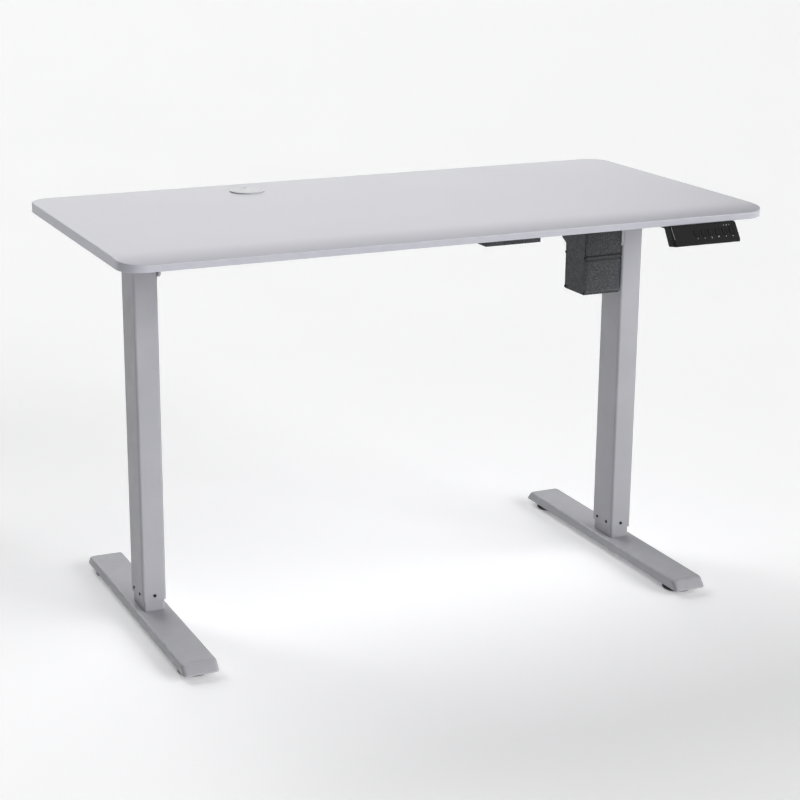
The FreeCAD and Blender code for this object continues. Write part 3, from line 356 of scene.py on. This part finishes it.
def piece(name, shape, slot_name, body, stands_for=(), edge=None, material=None):
    """A finished object from points and faces: smooth, with creases kept, at the origin."""
    points, faces = joined(shape) if isinstance(shape, tuple) else joined(*shape)
    mesh = bpy.data.meshes.new(name)
    mesh.from_pydata(points.tolist(), [], faces)
    mesh.polygons.foreach_set("use_smooth", np.ones(len(mesh.polygons), bool))
    mesh.set_sharp_from_angle(angle=math.radians(38))
    marks = mesh.attributes.new("edge", "FLOAT", "POINT")
    marks.data.foreach_set("value", np.zeros(len(points)) if edge is None else edge)
    mesh.materials.append(material or FINISH[slot_name])
    made = bpy.data.objects.new(name, mesh)
    bpy.context.scene.collection.objects.link(made)
    flat = made.modifiers.new("Even shading", "WEIGHTED_NORMAL")
    flat.keep_sharp = True
    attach(made, body)
    if stands_for:
        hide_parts(*stands_for)
    return made


def outline(points, radii, steps=8):
    """Closed line round a polygon with each corner turned by an arc of its own radius. Returns
    the points and their outward normals. The polygon runs anticlockwise."""
    points = np.asarray(points, float)
    radii = np.broadcast_to(np.asarray(radii, float), len(points))
    spots, ways = [], []
    for here, radius, last, following in zip(points, radii, np.roll(points, 1, axis=0),
                                             np.roll(points, -1, axis=0)):
        into = (here - last) / np.linalg.norm(here - last)
        away = (following - here) / np.linalg.norm(following - here)
        turn = math.atan2(into[0] * away[1] - into[1] * away[0], into @ away)
        first = np.array([into[1], -into[0]])
        side = math.copysign(1, turn)
        centre = here - into * radius * math.tan(abs(turn) / 2) - first * radius * side
        angles = np.linspace(0, turn, steps + 1)
        cos, sin = np.cos(angles), np.sin(angles)
        normals = np.stack([first[0] * cos - first[1] * sin, first[0] * sin + first[1] * cos], 1)
        spots.append(centre + normals * radius * side)
        ways.append(normals)
    return np.vstack(spots), np.vstack(ways)


def rectangle(wide, deep, radius, middle=(0, 0), steps=8):
    """Rounded rectangle about a middle point."""
    x, y = wide / 2, deep / 2
    spots, ways = outline([(-x, -y), (x, -y), (x, y), (-x, y)], radius, steps)
    return spots + np.array(middle), ways


def arc_rows(radius, start_at, rising=True, steps=5):
    """Rows (inset, height) of a rounded edge: inset r(1-sin t), height r(1-cos t) from its end."""
    turn = np.linspace(0, math.pi / 2, steps + 1)
    rows = np.stack([radius * (1 - np.sin(turn)), radius * (1 - np.cos(turn))], 1)
    if rising:
        return rows + (0, start_at)
    rows = rows[::-1] * (1, -1)
    return rows + (0, start_at)


def solid_rows(low, high, radius, steps=5):
    """Rows of a solid rounded at both ends, with a short flat run inside each rounding."""
    return np.vstack([[(radius + 0.6 * MM, low)], arc_rows(radius, low, True, steps),
                      arc_rows(radius, high, False, steps), [(radius + 0.6 * MM, high)]])


def tube_rows(low, high, wall, radius, steps=3):
    """Rows of an open tube: up the outside, over the rim, down the inside and back."""
    out = np.vstack([arc_rows(radius, low, True, steps), arc_rows(radius, high, False, steps)])
    back = np.vstack([arc_rows(radius, high, False, steps)[::-1],
                      arc_rows(radius, low, True, steps)[::-1]])
    back[:, 0] = wall - back[:, 0]
    return np.vstack([out, back])


UPRIGHT = np.eye(3)
ALONG_X = np.array([[0, 1, 0], [0, 0, 1], [1, 0, 0]], float)


def carry(shape, rows, axes=UPRIGHT, origin=(0, 0, 0), wrap=False):
    """Carries an outline along the third axis: each row moves it in along its normals by an
    inset and out along the axis by a height. The axes' rows are across, up and along."""
    spots, ways = shape
    rows = np.asarray(rows, float)
    flat = spots[None] - ways[None] * rows[:, None, :1]
    high = np.broadcast_to(rows[:, None, 1:], flat.shape[:2] + (1,))
    return skin(np.concatenate([flat, high], axis=2) @ axes + np.array(origin), wrap)


def turned(profile, centre, turns=72, axes=UPRIGHT, wrap=False, flutes=0, bite=0):
    """Profile of (radius, height) spun round the third axis. The radius may be bitten by
    bite(1-cos)/2 over a number of flutes."""
    profile = np.asarray(profile, float)
    angle = np.linspace(0, 2 * math.pi, turns, endpoint=False)
    radius = profile[:, :1] - bite * (1 - np.cos(flutes * angle))[None] / 2
    radius = np.maximum(radius, 0.00005)
    rings = np.stack([radius * np.cos(angle), radius * np.sin(angle),
                      np.broadcast_to(profile[:, 1:], radius.shape)], axis=2)
    return skin(rings @ axes + np.array(centre), wrap)


def rounded_profile(points, radius, steps=4):
    """A profile line whose inner points are each turned by a small arc."""
    points = np.asarray(points, float)
    made = [points[:1]]
    for last, here, following in zip(points, points[1:], points[2:]):
        into, away = here - last, following - here
        reach = min(radius, np.linalg.norm(into) * 0.45, np.linalg.norm(away) * 0.45)
        a = here - into / np.linalg.norm(into) * reach
        b = here + away / np.linalg.norm(away) * reach
        t = np.linspace(0, 1, steps + 1)[:, None]
        made.append((1 - t) ** 2 * a + 2 * t * (1 - t) * here + t ** 2 * b)
    return np.vstack(made + [points[-1:]])


def axes_for(direction):
    """Three rows (across, up, along) whose last is the given direction."""
    along = np.array(direction, float)
    across = np.cross((0, 0, 1) if abs(along[2]) < 0.9 else (1, 0, 0), along)
    across /= np.linalg.norm(across)
    return np.array([across, np.cross(along, across), along])


# ---------------------------------------------------------------- desktop

LOW, HIGH = corners("desktop")
BOARD_CORNER = 42 * MM
CURVE_DEPTH = 73 * MM
CURVE_DROP = 6 * MM
BOARD_RIM = 1.2 * MM
HOLE = np.array([-200 * MM, 222 * MM])
HOLE_RADIUS = 29 * MM


def front_drop(y):
    """Fall of the top's front strip: an arc's sagitta, R - sqrt(R^2 - d^2), d in from its start."""
    radius = (CURVE_DEPTH ** 2 + CURVE_DROP ** 2) / (2 * CURVE_DROP)
    run = np.clip(LOW[1] + CURVE_DEPTH - y, 0, None)
    return radius - np.sqrt(radius ** 2 - run ** 2)


def desktop():
    """The board as one closed skin of loops round the cable hole: out over the top, round the
    rim, back under the board and up the hole. A loop on the top or underside is the rim's loop
    and the hole's mixed by a share, and the top's height is lowered by the front's fall."""
    wide, deep = HIGH[0] - LOW[0], HIGH[1] - LOW[1]
    x, y, reach = wide / 2, deep / 2, BOARD_CORNER
    sides = []
    arc = np.linspace(0, math.pi / 2, 33)
    for quarter, (sx, sy) in enumerate(((1, -1), (1, 1), (-1, 1), (-1, -1))):
        angle = arc + (quarter - 1) * math.pi / 2
        way = np.stack([np.cos(angle), np.sin(angle)], 1)
        centre = np.array([sx * (x - reach), sy * (y - reach)])
        sides.append((centre + way * reach, way))
        straight = (y if quarter % 2 == 0 else x) - reach
        share = np.linspace(-1, 1, 30 if quarter % 2 == 0 else 60)[1:-1, None] * straight
        run = np.array([[0, 1], [-1, 0], [0, -1], [1, 0]][quarter])
        base = np.array([[x, 0], [0, y], [-x, 0], [0, -y]][quarter])
        normal = np.array([[1, 0], [0, 1], [-1, 0], [0, -1]][quarter])
        sides.append((base + run * share, np.broadcast_to(normal, (len(share), 2))))
    spots = np.vstack([s for s, _ in sides])
    ways = np.vstack([w for _, w in sides])
    from_hole = spots - HOLE
    hole = HOLE + from_hole / np.linalg.norm(from_hole, axis=1, keepdims=True) * HOLE_RADIUS
    top, base = HIGH[2], LOW[2]
    loops, rim_wear_and_highlights = [], []

    def loop(flat, height, follows, rim_wear_and_highlight):
        fall = front_drop(flat[:, 1]) * follows
        loops.append(np.column_stack([flat, height - fall]))
        rim_wear_and_highlights.append(np.full(len(flat), rim_wear_and_highlight))

    share = np.concatenate([[0, 0.001], np.linspace(0.006, 0.994, 110), [0.999]])
    inner = spots - ways * (BOARD_RIM + 0.4 * MM)
    for t in share:
        loop(hole * (1 - t) + inner * t, top, 1, 0)
    # the rounded rim rows carry the paler tone: rubbed wear and a painted edge highlight
    for t in np.linspace(0, math.pi / 2, 6):
        loop(spots - ways * BOARD_RIM * (1 - math.sin(t)), top - BOARD_RIM * (1 - math.cos(t)), 1,
             1.0)
    loop(spots, top - BOARD_RIM - 0.5 * MM, 1, 0)
    loop(spots, base + BOARD_RIM + 0.5 * MM, 0, 0)
    for t in np.linspace(math.pi / 2, 0, 6):
        loop(spots - ways * BOARD_RIM * (1 - math.sin(t)), base + BOARD_RIM * (1 - math.cos(t)), 0,
             0.6)
    for t in (0.997, 0.5, 0.001, 0):
        loop(hole * (1 - t) + inner * t, base, 0, 0)
    shape = skin(np.stack(loops), wrap=True)
    piece("tabletop", shape, "board", "top", ["desktop"], edge=np.concatenate(rim_wear_and_highlights))


def grommet():
    """Sleeve with a soft raised lip let into the board, its inner ledge level with the underside of the cap that
    fills its mouth.
    """
    low, high = corners("grommet_ring")
    flange = (high[0] - low[0]) / 2
    level, foot = high[2], low[2]
    sleeve, mouth, ledge = 28.9 * MM, 26.7 * MM, 24.2 * MM
    cap_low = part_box("grommet_cap")[0][2]
    seat = level - 2.4 * MM
    profile = rounded_profile([(ledge, foot), (sleeve, foot), (sleeve, seat), (flange, seat),
                               (flange, level), (mouth, level), (mouth, cap_low),
                               (ledge, cap_low), (ledge, foot)], 0.9 * MM, 5)[:-1]
    middle = (HOLE[0], HOLE[1], 0)
    piece("grommet_lip", turned(profile, middle, 96, wrap=True), "grommet", "top",
          ["grommet_ring"])


# ---------------------------------------------------------------- columns and feet

def columns():
    """Rounded steel tubes with a thin bright rim, drawn at the wall they really have."""
    for side in ("left", "right"):
        for node, corner, body, stands in ((f"outer_tube_{side}", 5, "top", "outer_case"),
                                           (f"inner_tube_{side}", 3.75, "base", "inner_case")):
            low, high = corners(node)
            middle = (low + high) / 2
            shape = rectangle(high[0] - low[0], high[1] - low[1], corner * MM, middle[:2], 10)
            rows = tube_rows(low[2], high[2], 1.5 * MM, 0.4 * MM)
            piece(f"{stands}_{side}", carry(shape, rows, wrap=True), "frame_paint", body, [node])


def foot_loops(levels, wide, long, inset, corner, middle, tip, tall, slope, base):
    """Rounded rectangles up the foot, each level a (height, edge inset) pair. The length falls
    by the end slope's share of the height above its tip, so the ends lean in."""
    loops = []
    for height, edge in levels:
        lean = slope * np.clip((height - tip) / (tall - tip), 0, 1)
        shape, _ = rectangle(wide - 2 * (inset + edge), long - 2 * (inset + edge + lean),
                             max(corner - edge, 1 * MM), middle, 8)
        loops.append(np.column_stack([shape, np.full(len(shape), base + height)]))
    return loops


def feet():
    """Pressed steel foot: rounded corners and long edges, ends that lean in, hollow below."""
    for side in ("left", "right"):
        node = f"foot_{side}"
        low, high = corners(node)
        middle = ((low + high) / 2)[:2]
        wide, long = high[0] - low[0], high[1] - low[1]
        tall, tip, wall, ease = high[2] - low[2], 3 * MM, 2 * MM, 3.5 * MM
        turn = np.linspace(0, math.pi / 2, 8)
        inner = [(tall - wall, 1 * MM), (tall - wall, 0.2 * MM), (tip, 0), (0.3 * MM, 0)]
        outer = [(0.0, 0.4 * MM), (0.4 * MM, 0), (tip, 0)]
        outer += [(tall - ease * (1 - math.sin(t)), ease * (1 - math.cos(t))) for t in turn]
        outer += [(tall, ease + 0.8 * MM)]
        size = (tip, tall, 14 * MM, low[2])
        loops = foot_loops(inner, wide, long, wall, 5 * MM, middle, *size)
        loops += foot_loops(outer, wide, long, 0, 7 * MM, middle, *size)
        # paler tone on the foot's rounded edges: rubbed coat and a painted edge highlight
        rim_wear_and_highlight = [0] * 5 + [0.6, 0.2, 0.1, 0.1] + [0.7] * 4 + [0.2, 0.2, 0]
        piece(f"pressed_foot_{side}", skin(np.stack(loops)), "frame_paint", "base", [node],
              edge=np.repeat(rim_wear_and_highlight, len(loops[0])))


def levelling_feet():
    """Moulded pad with fine grip flutes round its rim, and its threaded stud."""
    for side in ("left", "right"):
        for end in ("front", "back"):
            node = f"levelling_foot_{side}_{end}"
            low, high = corners(node)
            middle = ((low[0] + high[0]) / 2, (low[1] + high[1]) / 2, 0)
            reach = (high[0] - low[0]) / 2
            profile = rounded_profile([(0.1 * MM, 0), (reach - 1 * MM, 0), (reach, 1 * MM),
                                       (reach, 3.5 * MM), (reach - 3 * MM, 6.5 * MM),
                                       (9 * MM, 6.5 * MM), (9 * MM, 10.2 * MM),
                                       (4 * MM, 10.2 * MM)], 0.8 * MM)
            pad = turned(profile, middle, 144, flutes=36, bite=0.5 * MM)
            thread = np.arange(10.2, high[2] / MM - 0.5, 0.31)
            wave = 3.9 - 0.35 * np.abs(((thread - 10.2) / 1.24) % 1 - 0.5) * 2
            stud = np.vstack([np.stack([wave, thread], 1), [(3.2, high[2] / MM)]]) * MM
            piece(f"pad_{side}_{end}", [pad, turned(stud, middle, 36)], "black_plastic", node,
                  [node])


def eased(node, ease, name):
    """A CAD piece's copy with its doubles merged, flats cleaned and its corners eased by a bevel
    of the given radius."""
    source = frame["nodes"][node]
    mesh = source.data.copy()
    made = bpy.data.objects.new(name, mesh)
    bpy.context.scene.collection.objects.link(made)
    work = bmesh.new()
    work.from_mesh(mesh)
    bmesh.ops.remove_doubles(work, verts=work.verts, dist=0.00002)
    bmesh.ops.dissolve_limit(work, angle_limit=math.radians(1), verts=work.verts, edges=work.edges)
    work.to_mesh(mesh)
    work.free()
    mesh.polygons.foreach_set("use_smooth", np.ones(len(mesh.polygons), bool))
    mesh.set_sharp_from_angle(angle=math.radians(38))
    mesh.attributes.new("edge", "FLOAT", "POINT")
    bevel = made.modifiers.new("Eased corners", "BEVEL")
    bevel.width = ease
    bevel.segments = 3
    bevel.limit_method = "ANGLE"
    bevel.angle_limit = math.radians(38)
    bevel.harden_normals = True
    mesh.materials.clear()
    mesh.materials.append(FINISH[SLOT_OF[node]])
    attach(made, BODY_OF[node])
    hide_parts(node)
    return made


# ---------------------------------------------------------------- screws

PIN_SHANK = 1.4 * MM
PIN_HEAD = 2.9 * MM
PIN_HEAD_TALL = 1.6 * MM


def screw_head(place, direction, radius, tall):
    """Domed head with a cross recess: height is the dome h(0.55+0.45(1-(r/R)^4)), less a recess
    that deepens where the nearer arm's middle is closer than its half width."""
    share = np.array([1.0, 1.0, 0.97, 0.9, 0.8, 0.7, 0.6, 0.52, 0.45, 0.38, 0.3, 0.22, 0.14, 0.06])
    angle = np.linspace(0, 2 * math.pi, 48, endpoint=False)
    r = share[:, None] * radius
    x, y = r * np.cos(angle), r * np.sin(angle)
    dome = tall * (0.55 + 0.45 * (1 - share[:, None] ** 4)) + x * 0
    dome[0] = 0
    arm = np.minimum(np.abs(x), np.abs(y))
    inside = np.clip((radius * 0.16 - arm) / (radius * 0.05), 0, 1)
    reach = np.clip((0.58 - share[:, None]) / 0.07, 0, 1)
    dome = dome - inside * reach * tall * 0.6
    rings = np.stack([x, y, dome], axis=2)
    return skin(rings @ axes_for(direction) + np.array(place))


def shank(place, direction, radius, length):
    """Plain shank behind a head, with a blunt end."""
    profile = [(radius, 0.2 * MM), (radius, -length + radius), (radius * 0.4, -length)]
    return turned(profile, place, 20, axes_for(direction))


def pin_screw(place, direction, length):
    """Small black screw: its head stands on the surface, its shank runs in behind."""
    return [screw_head(place, direction, PIN_HEAD, PIN_HEAD_TALL),
            shank(place, direction, PIN_SHANK, length)]


def case_screws():
    """Screws round the foot of each outer tube: two on each side, one in front and one behind."""
    made, length, apart = [], 2 * MM, 17.5 * MM
    for side in ("left", "right"):
        lowest, highest = corners(f"outer_tube_{side}")
        middle, half = (lowest + highest) / 2, (highest - lowest) / 2
        level = lowest[2] + 10.2 * MM
        for way in (-1, 1):
            for offset in (-apart, apart):
                place = (middle[0] + way * half[0], offset, level)
                made += pin_screw(place, (way, 0, 0), length)
            place = (middle[0], way * half[1], level)
            made += pin_screw(place, (0, way, 0), length)
    piece("case_screws", made, "black_screw", "top", ["glide_screws"])


# ---------------------------------------------------------------- motor housing

def housing_line(low):
    """Side outline of the motor housing: stepped out behind near the top, with a half-round
    screw tube, grooved on both sides, across its front."""
    front, back, shelf = -37 * MM, 38 * MM, 54 * MM
    tall = 179 * MM
    tube, level, half, groove, bite = 38.5 * MM, 71 * MM, 4 * MM, 1.8 * MM, 1.2 * MM
    left = [(front, tall), (front, level + half + groove), (front + bite, level + half + groove),
            (front + bite, level + half)]
    arc = np.linspace(math.radians(100), math.radians(260), 11)
    ridge = [(-tube + half + half * math.cos(a), level + half * math.sin(a)) for a in arc]
    lower = [(front + bite, level - half), (front + bite, level - half - groove),
             (front, level - half - groove), (front, 8 * MM), (-tube, 4 * MM), (front + 3 * MM, 0)]
    points = left + ridge + lower + [(back, 0), (back, 88 * MM), (shelf, 96.5 * MM),
                                     (shelf, 134 * MM), (back, 134 * MM), (back, tall)]
    radii = [0.8, 0.5, 0.4, 0.4] + [0.3] * 11 + [0.4, 0.4, 0.5, 2.5, 3.0, 2.0, 4, 3, 3, 3, 3, 0.8]
    spots, ways = outline(points, np.array(radii) * MM, 5)
    return spots + (0, low), ways


def motor_housing():
    """Shell and its cover, parted by a fine seam, both rounded at their ends."""
    low, high = corners("motor_housing")
    lid_low, lid_high = corners("motor_cover")
    shape = housing_line(low[2])
    shell = carry(shape, solid_rows(lid_high[0] + 0.15 * MM, high[0], 0.9 * MM), ALONG_X)
    cover = carry(shape, solid_rows(lid_low[0], lid_high[0] - 0.15 * MM, 0.6 * MM), ALONG_X)
    piece("motor_shell", shell, "black_plastic", "top", ["motor_housing"])
    piece("motor_lid", cover, "black_plastic", "top", ["motor_cover"])
    heads = []
    for y in (-34.5 * MM, 35.5 * MM):
        for z in (4 * MM, 71 * MM):
            place = (lid_low[0], y, low[2] + z)
            heads += pin_screw(place, (-1, 0, 0), 20 * MM)
    piece("housing_screws", heads, "black_screw", "top", ["motor_screws"])


# ---------------------------------------------------------------- handset

LEAN = math.radians(35)
BASE = np.array([458.5 * MM, -303 * MM, LOW[2]])
# across the face, up the face, and out of it
FACE = np.array([[1, 0, 0], [0, math.sin(LEAN), math.cos(LEAN)],
                 [0, -math.cos(LEAN), math.sin(LEAN)]])
FACE_LONG = 39 * MM
WIDE = 134 * MM


def handset():
    """Wedge with a sloping face plate, six framed keys, small figures, a pale line painted as the highlight of the
    plate's left edge, and three marks.
    """
    along = np.array([math.sin(LEAN), math.cos(LEAN)])
    into = np.array([math.cos(LEAN), math.sin(LEAN)])
    plate = 2 * MM
    top = (plate * into[0] + plate * into[1] * math.tan(LEAN), 0)
    low = (-FACE_LONG * along[0] + plate * into[0], -FACE_LONG * along[1] - plate * into[1])
    heel = (24 * MM - FACE_LONG * along[0], -FACE_LONG * along[1] - 4.6 * MM)
    knee = (24 * MM - 7 * MM * math.tan(LEAN), -7 * MM)
    shape = outline([low, heel, knee, (66 * MM, -7 * MM), (66 * MM, 0), top],
                    np.array([0.6, 3, 3, 2, 0.5, 0.4]) * MM, 6)
    rows = solid_rows(-WIDE / 2, WIDE / 2, 1.2 * MM)
    piece("handset_case", carry(shape, rows, ALONG_X, BASE), "handset_gloss", "top",
          ["handset_housing"])
    x, y = WIDE / 2, -FACE_LONG
    corner = np.array([6, 6, 1, 1]) * MM
    face = outline([(-x, y), (x, y), (x, -1.2 * MM), (-x, -1.2 * MM)], corner, 8)
    rows = solid_rows(-plate + 0.1 * MM, 0, 0.5 * MM)
    parts = [carry(face, rows, FACE, BASE)]
    for number in range(6):
        place = (x - 13 * MM - 14.5 * MM * (5 - number), -17.2 * MM)
        ring = rectangle(10.2 * MM, 14.8 * MM, 3.8 * MM, place, 8)
        rows = np.array([(0, -0.1), (0.1, 0.2), (0.35, 0.35), (0.65, 0.3), (0.8, 0.1),
                         (0.8, -0.1)]) * MM
        parts.append(carry(ring, rows, FACE, BASE, wrap=True))
        key = rectangle(8 * MM, 12.6 * MM, 2.9 * MM, place, 8)
        rows = np.array([(0, -0.3), (0, 0.35), (0.12, 0.5), (0.35, 0.6), (1.0, 0.56), (1.8, 0.48),
                         (2.6, 0.44)]) * MM
        piece(f"key_{number + 1}", carry(key, rows, FACE, BASE), "button_black",
              f"button_{number + 1}", [f"button_{number + 1}"])
    piece("handset_front", parts, "handset_gloss", "top", ["handset_face"])
    figures = []
    for number, text in enumerate(("1", "2", "3", "M")):
        figures.append(figure(text, (x - 13 * MM - 14.5 * MM * (5 - number), -28.4 * MM)))
    for number, way in ((4, -1), (5, 1)):
        place = np.array((x - 13 * MM - 14.5 * MM * (5 - number), -27.4 * MM))
        tip = [(-1.3 * MM, -0.7 * MM * way), (1.3 * MM, -0.7 * MM * way), (0, 0.9 * MM * way)]
        tip = tip if way > 0 else tip[::-1]
        spots, ways = outline(tip, 0.15 * MM, 3)
        figures.append(carry((spots + place, ways), [(0, -0.05 * MM), (0, 0.08 * MM)], FACE, BASE))
    # pale line at the face's left end: a painted highlight of the face plate's edge
    line = rectangle(0.45 * MM, 23 * MM, 0.2 * MM, (-x + 1.4 * MM, -13.5 * MM), 4)
    figures.append(carry(line, [(0, -0.05 * MM), (0, 0.08 * MM)], FACE, BASE))
    for across, reach in ((499, 0.6), (505, 1.0), (510.5, 0.6)):
        dot = rectangle(reach * 2 * MM, 0.9 * MM, 0.44 * MM, (across * MM - BASE[0], -6.3 * MM), 5)
        figures.append(carry(dot, [(0, -0.05 * MM), (0, 0.08 * MM)], FACE, BASE))
    piece("handset_print_and_painted_highlight", figures, "handset_gloss", "top", material=PALE_PRINT_AND_HIGHLIGHT)


def figure(text, place):
    """A printed figure, 3 mm tall, laid on the face: a font outline filled and lifted."""
    curve = bpy.data.curves.new("figure", "FONT")
    curve.body = text
    curve.size = 4.2 * MM
    curve.align_x = "CENTER"
    curve.extrude = 0.05 * MM
    holder = bpy.data.objects.new("figure", curve)
    bpy.context.scene.collection.objects.link(holder)
    bpy.context.view_layer.update()
    mesh = bpy.data.meshes.new_from_object(holder)
    flat = np.zeros(len(mesh.vertices) * 3)
    mesh.vertices.foreach_get("co", flat)
    flat = flat.reshape(-1, 3) + (place[0], place[1], 0.03 * MM)
    faces = [list(side.vertices) for side in mesh.polygons]
    bpy.data.objects.remove(holder)
    return flat @ FACE + BASE, faces


# ---------------------------------------------------------------- the whole desk

for node, thing in frame["nodes"].items():
    thing.data.materials.clear()
    thing.data.materials.append(FINISH[SLOT_OF[node]])

desktop()
grommet()
columns()
feet()
levelling_feet()
case_screws()
motor_housing()
handset()
for node, ease in {"side_arm_left": 0.5, "side_arm_right": 0.5, "head_bracket_left": 0.5, "head_bracket_right": 0.5,
                   "rail_front": 0.5, "rail_back": 0.5, "control_box": 0.6, "control_lid": 0.4,
                   "gearbox_left": 0.4, "gearbox_right": 0.4, "head_plates": 0.4,
                   "grommet_cap": 0.3}.items():
    eased(node, ease * MM, f"eased_{node}")


# ---------------------------------------------------------------- floor, light and camera

def sun(name, azimuth, elevation, strength, spread):
    """Broad light from a direction: azimuth from +Y towards +X and elevation, in degrees."""
    lamp = bpy.data.lights.new(name, "SUN")
    lamp.energy = strength
    lamp.angle = math.radians(spread)
    made = bpy.data.objects.new(name, lamp)
    a, e = math.radians(azimuth), math.radians(elevation)
    toward = np.array([math.sin(a) * math.cos(e), math.cos(a) * math.cos(e), math.sin(e)])
    made.matrix_world = Matrix(np.vstack([np.column_stack([axes_for(toward).T, [0, 0, 4]]),
                                          [0, 0, 0, 1]]).tolist())
    bpy.context.scene.collection.objects.link(made)


def ground():
    """Wide pale floor just below the pads. Seen from below, it lets the desk's underside show."""
    mesh = bpy.data.meshes.new("floor")
    span = np.linspace(-30, 30, 13)
    x, y = np.meshgrid(span, span)
    rows = np.arange(x.size).reshape(x.shape)
    faces = np.stack([rows[:-1, :-1], rows[:-1, 1:], rows[1:, 1:], rows[1:, :-1]], -1)
    mesh.from_pydata(np.stack([x, y, x * 0 - 0.0002], -1).reshape(-1, 3).tolist(), [],
                     faces.reshape(-1, 4).tolist())
    floor = bpy.data.objects.new("floor", mesh)
    bpy.context.scene.collection.objects.link(floor)
    made, tree, shader, where = start("pale_floor")
    shader.inputs["Emission Color"].default_value = (1, 1, 1, 1)
    shader.inputs["Emission Strength"].default_value = 0.2
    paint(tree, shader, drift(tree, where, "F8F8F9", "F6F6F7", 900))
    roughness(tree, where, shader, 0.75, 0.9, 300)
    mesh.materials.append(made)
    facing = add(tree, "ShaderNodeNewGeometry")
    clear = add(tree, "ShaderNodeBsdfTransparent")
    both = add(tree, "ShaderNodeMixShader", {0: (facing, "Backfacing"), 1: (shader, 0),
                                             2: (clear, 0)})
    tree.links.new(both.outputs[0], tree.nodes["Material Output"].inputs["Surface"])


def backdrop():
    """White shell far round the desk that is only looked at: it lights and shades nothing."""
    turn, rise = np.meshgrid(np.linspace(0, 2 * math.pi, 48, endpoint=False),
                             np.linspace(-1.5, 1.5, 25))
    shell = np.stack([np.cos(rise) * np.cos(turn), np.cos(rise) * np.sin(turn), np.sin(rise)], -1)
    points, faces = skin(shell * 80)
    mesh = bpy.data.meshes.new("backdrop")
    mesh.from_pydata(points.tolist(), [], faces)
    made = bpy.data.objects.new("backdrop", mesh)
    bpy.context.scene.collection.objects.link(made)
    white, _, glow, _ = start("white_backdrop")
    glow.inputs["Emission Color"].default_value = (1, 1, 1, 1)
    glow.inputs["Emission Strength"].default_value = 0.92
    glow.inputs["Base Color"].default_value = (0, 0, 0, 1)
    glow.inputs["Specular IOR Level"].default_value = 0.0
    mesh.materials.append(white)
    made.visible_diffuse = False
    made.visible_glossy = False
    made.visible_shadow = False


def studio():
    """Dim room light and four broad lights: over the back, low behind, in front and beside."""
    ground()
    backdrop()
    world = bpy.data.worlds.new("studio")
    bpy.context.scene.world = world
    world.use_nodes = True
    back = world.node_tree.nodes["Background"]
    back.inputs["Color"].default_value = (1, 1, 1, 1)
    back.inputs["Strength"].default_value = 0.04
    sun("back_light", -14, 40, 1.7, 40)
    sun("sheen_light", 22, 15, 0.38, 30)
    sun("front_light", 152, 18, 1.75, 30)
    sun("side_light", 122, 32, 1.0, 40)
    bpy.context.scene.view_settings.view_transform = "Standard"


def camera():
    """Set at eye height to the left of the desk, looking slightly down at it."""
    lens = bpy.data.cameras.new("camera")
    lens.sensor_width = 36
    lens.lens = 86.435
    lens.shift_x = 0.0690
    lens.shift_y = 0.0037
    lens.clip_end = 200
    made = bpy.data.objects.new("camera", lens)
    turn, dip = 0.405, 0.287
    ahead = np.array([math.sin(turn) * math.cos(dip), math.cos(turn) * math.cos(dip),
                      -math.sin(dip)])
    right = np.array([math.cos(turn), -math.sin(turn), 0])
    place = np.array([-1.432317, -3.115286, 1.363907])
    turned_to = np.column_stack([right, np.cross(right, ahead), -ahead, place])
    made.matrix_world = Matrix(np.vstack([turned_to, [0, 0, 0, 1]]).tolist())
    bpy.context.scene.collection.objects.link(made)
    bpy.context.scene.camera = made


studio()
camera()
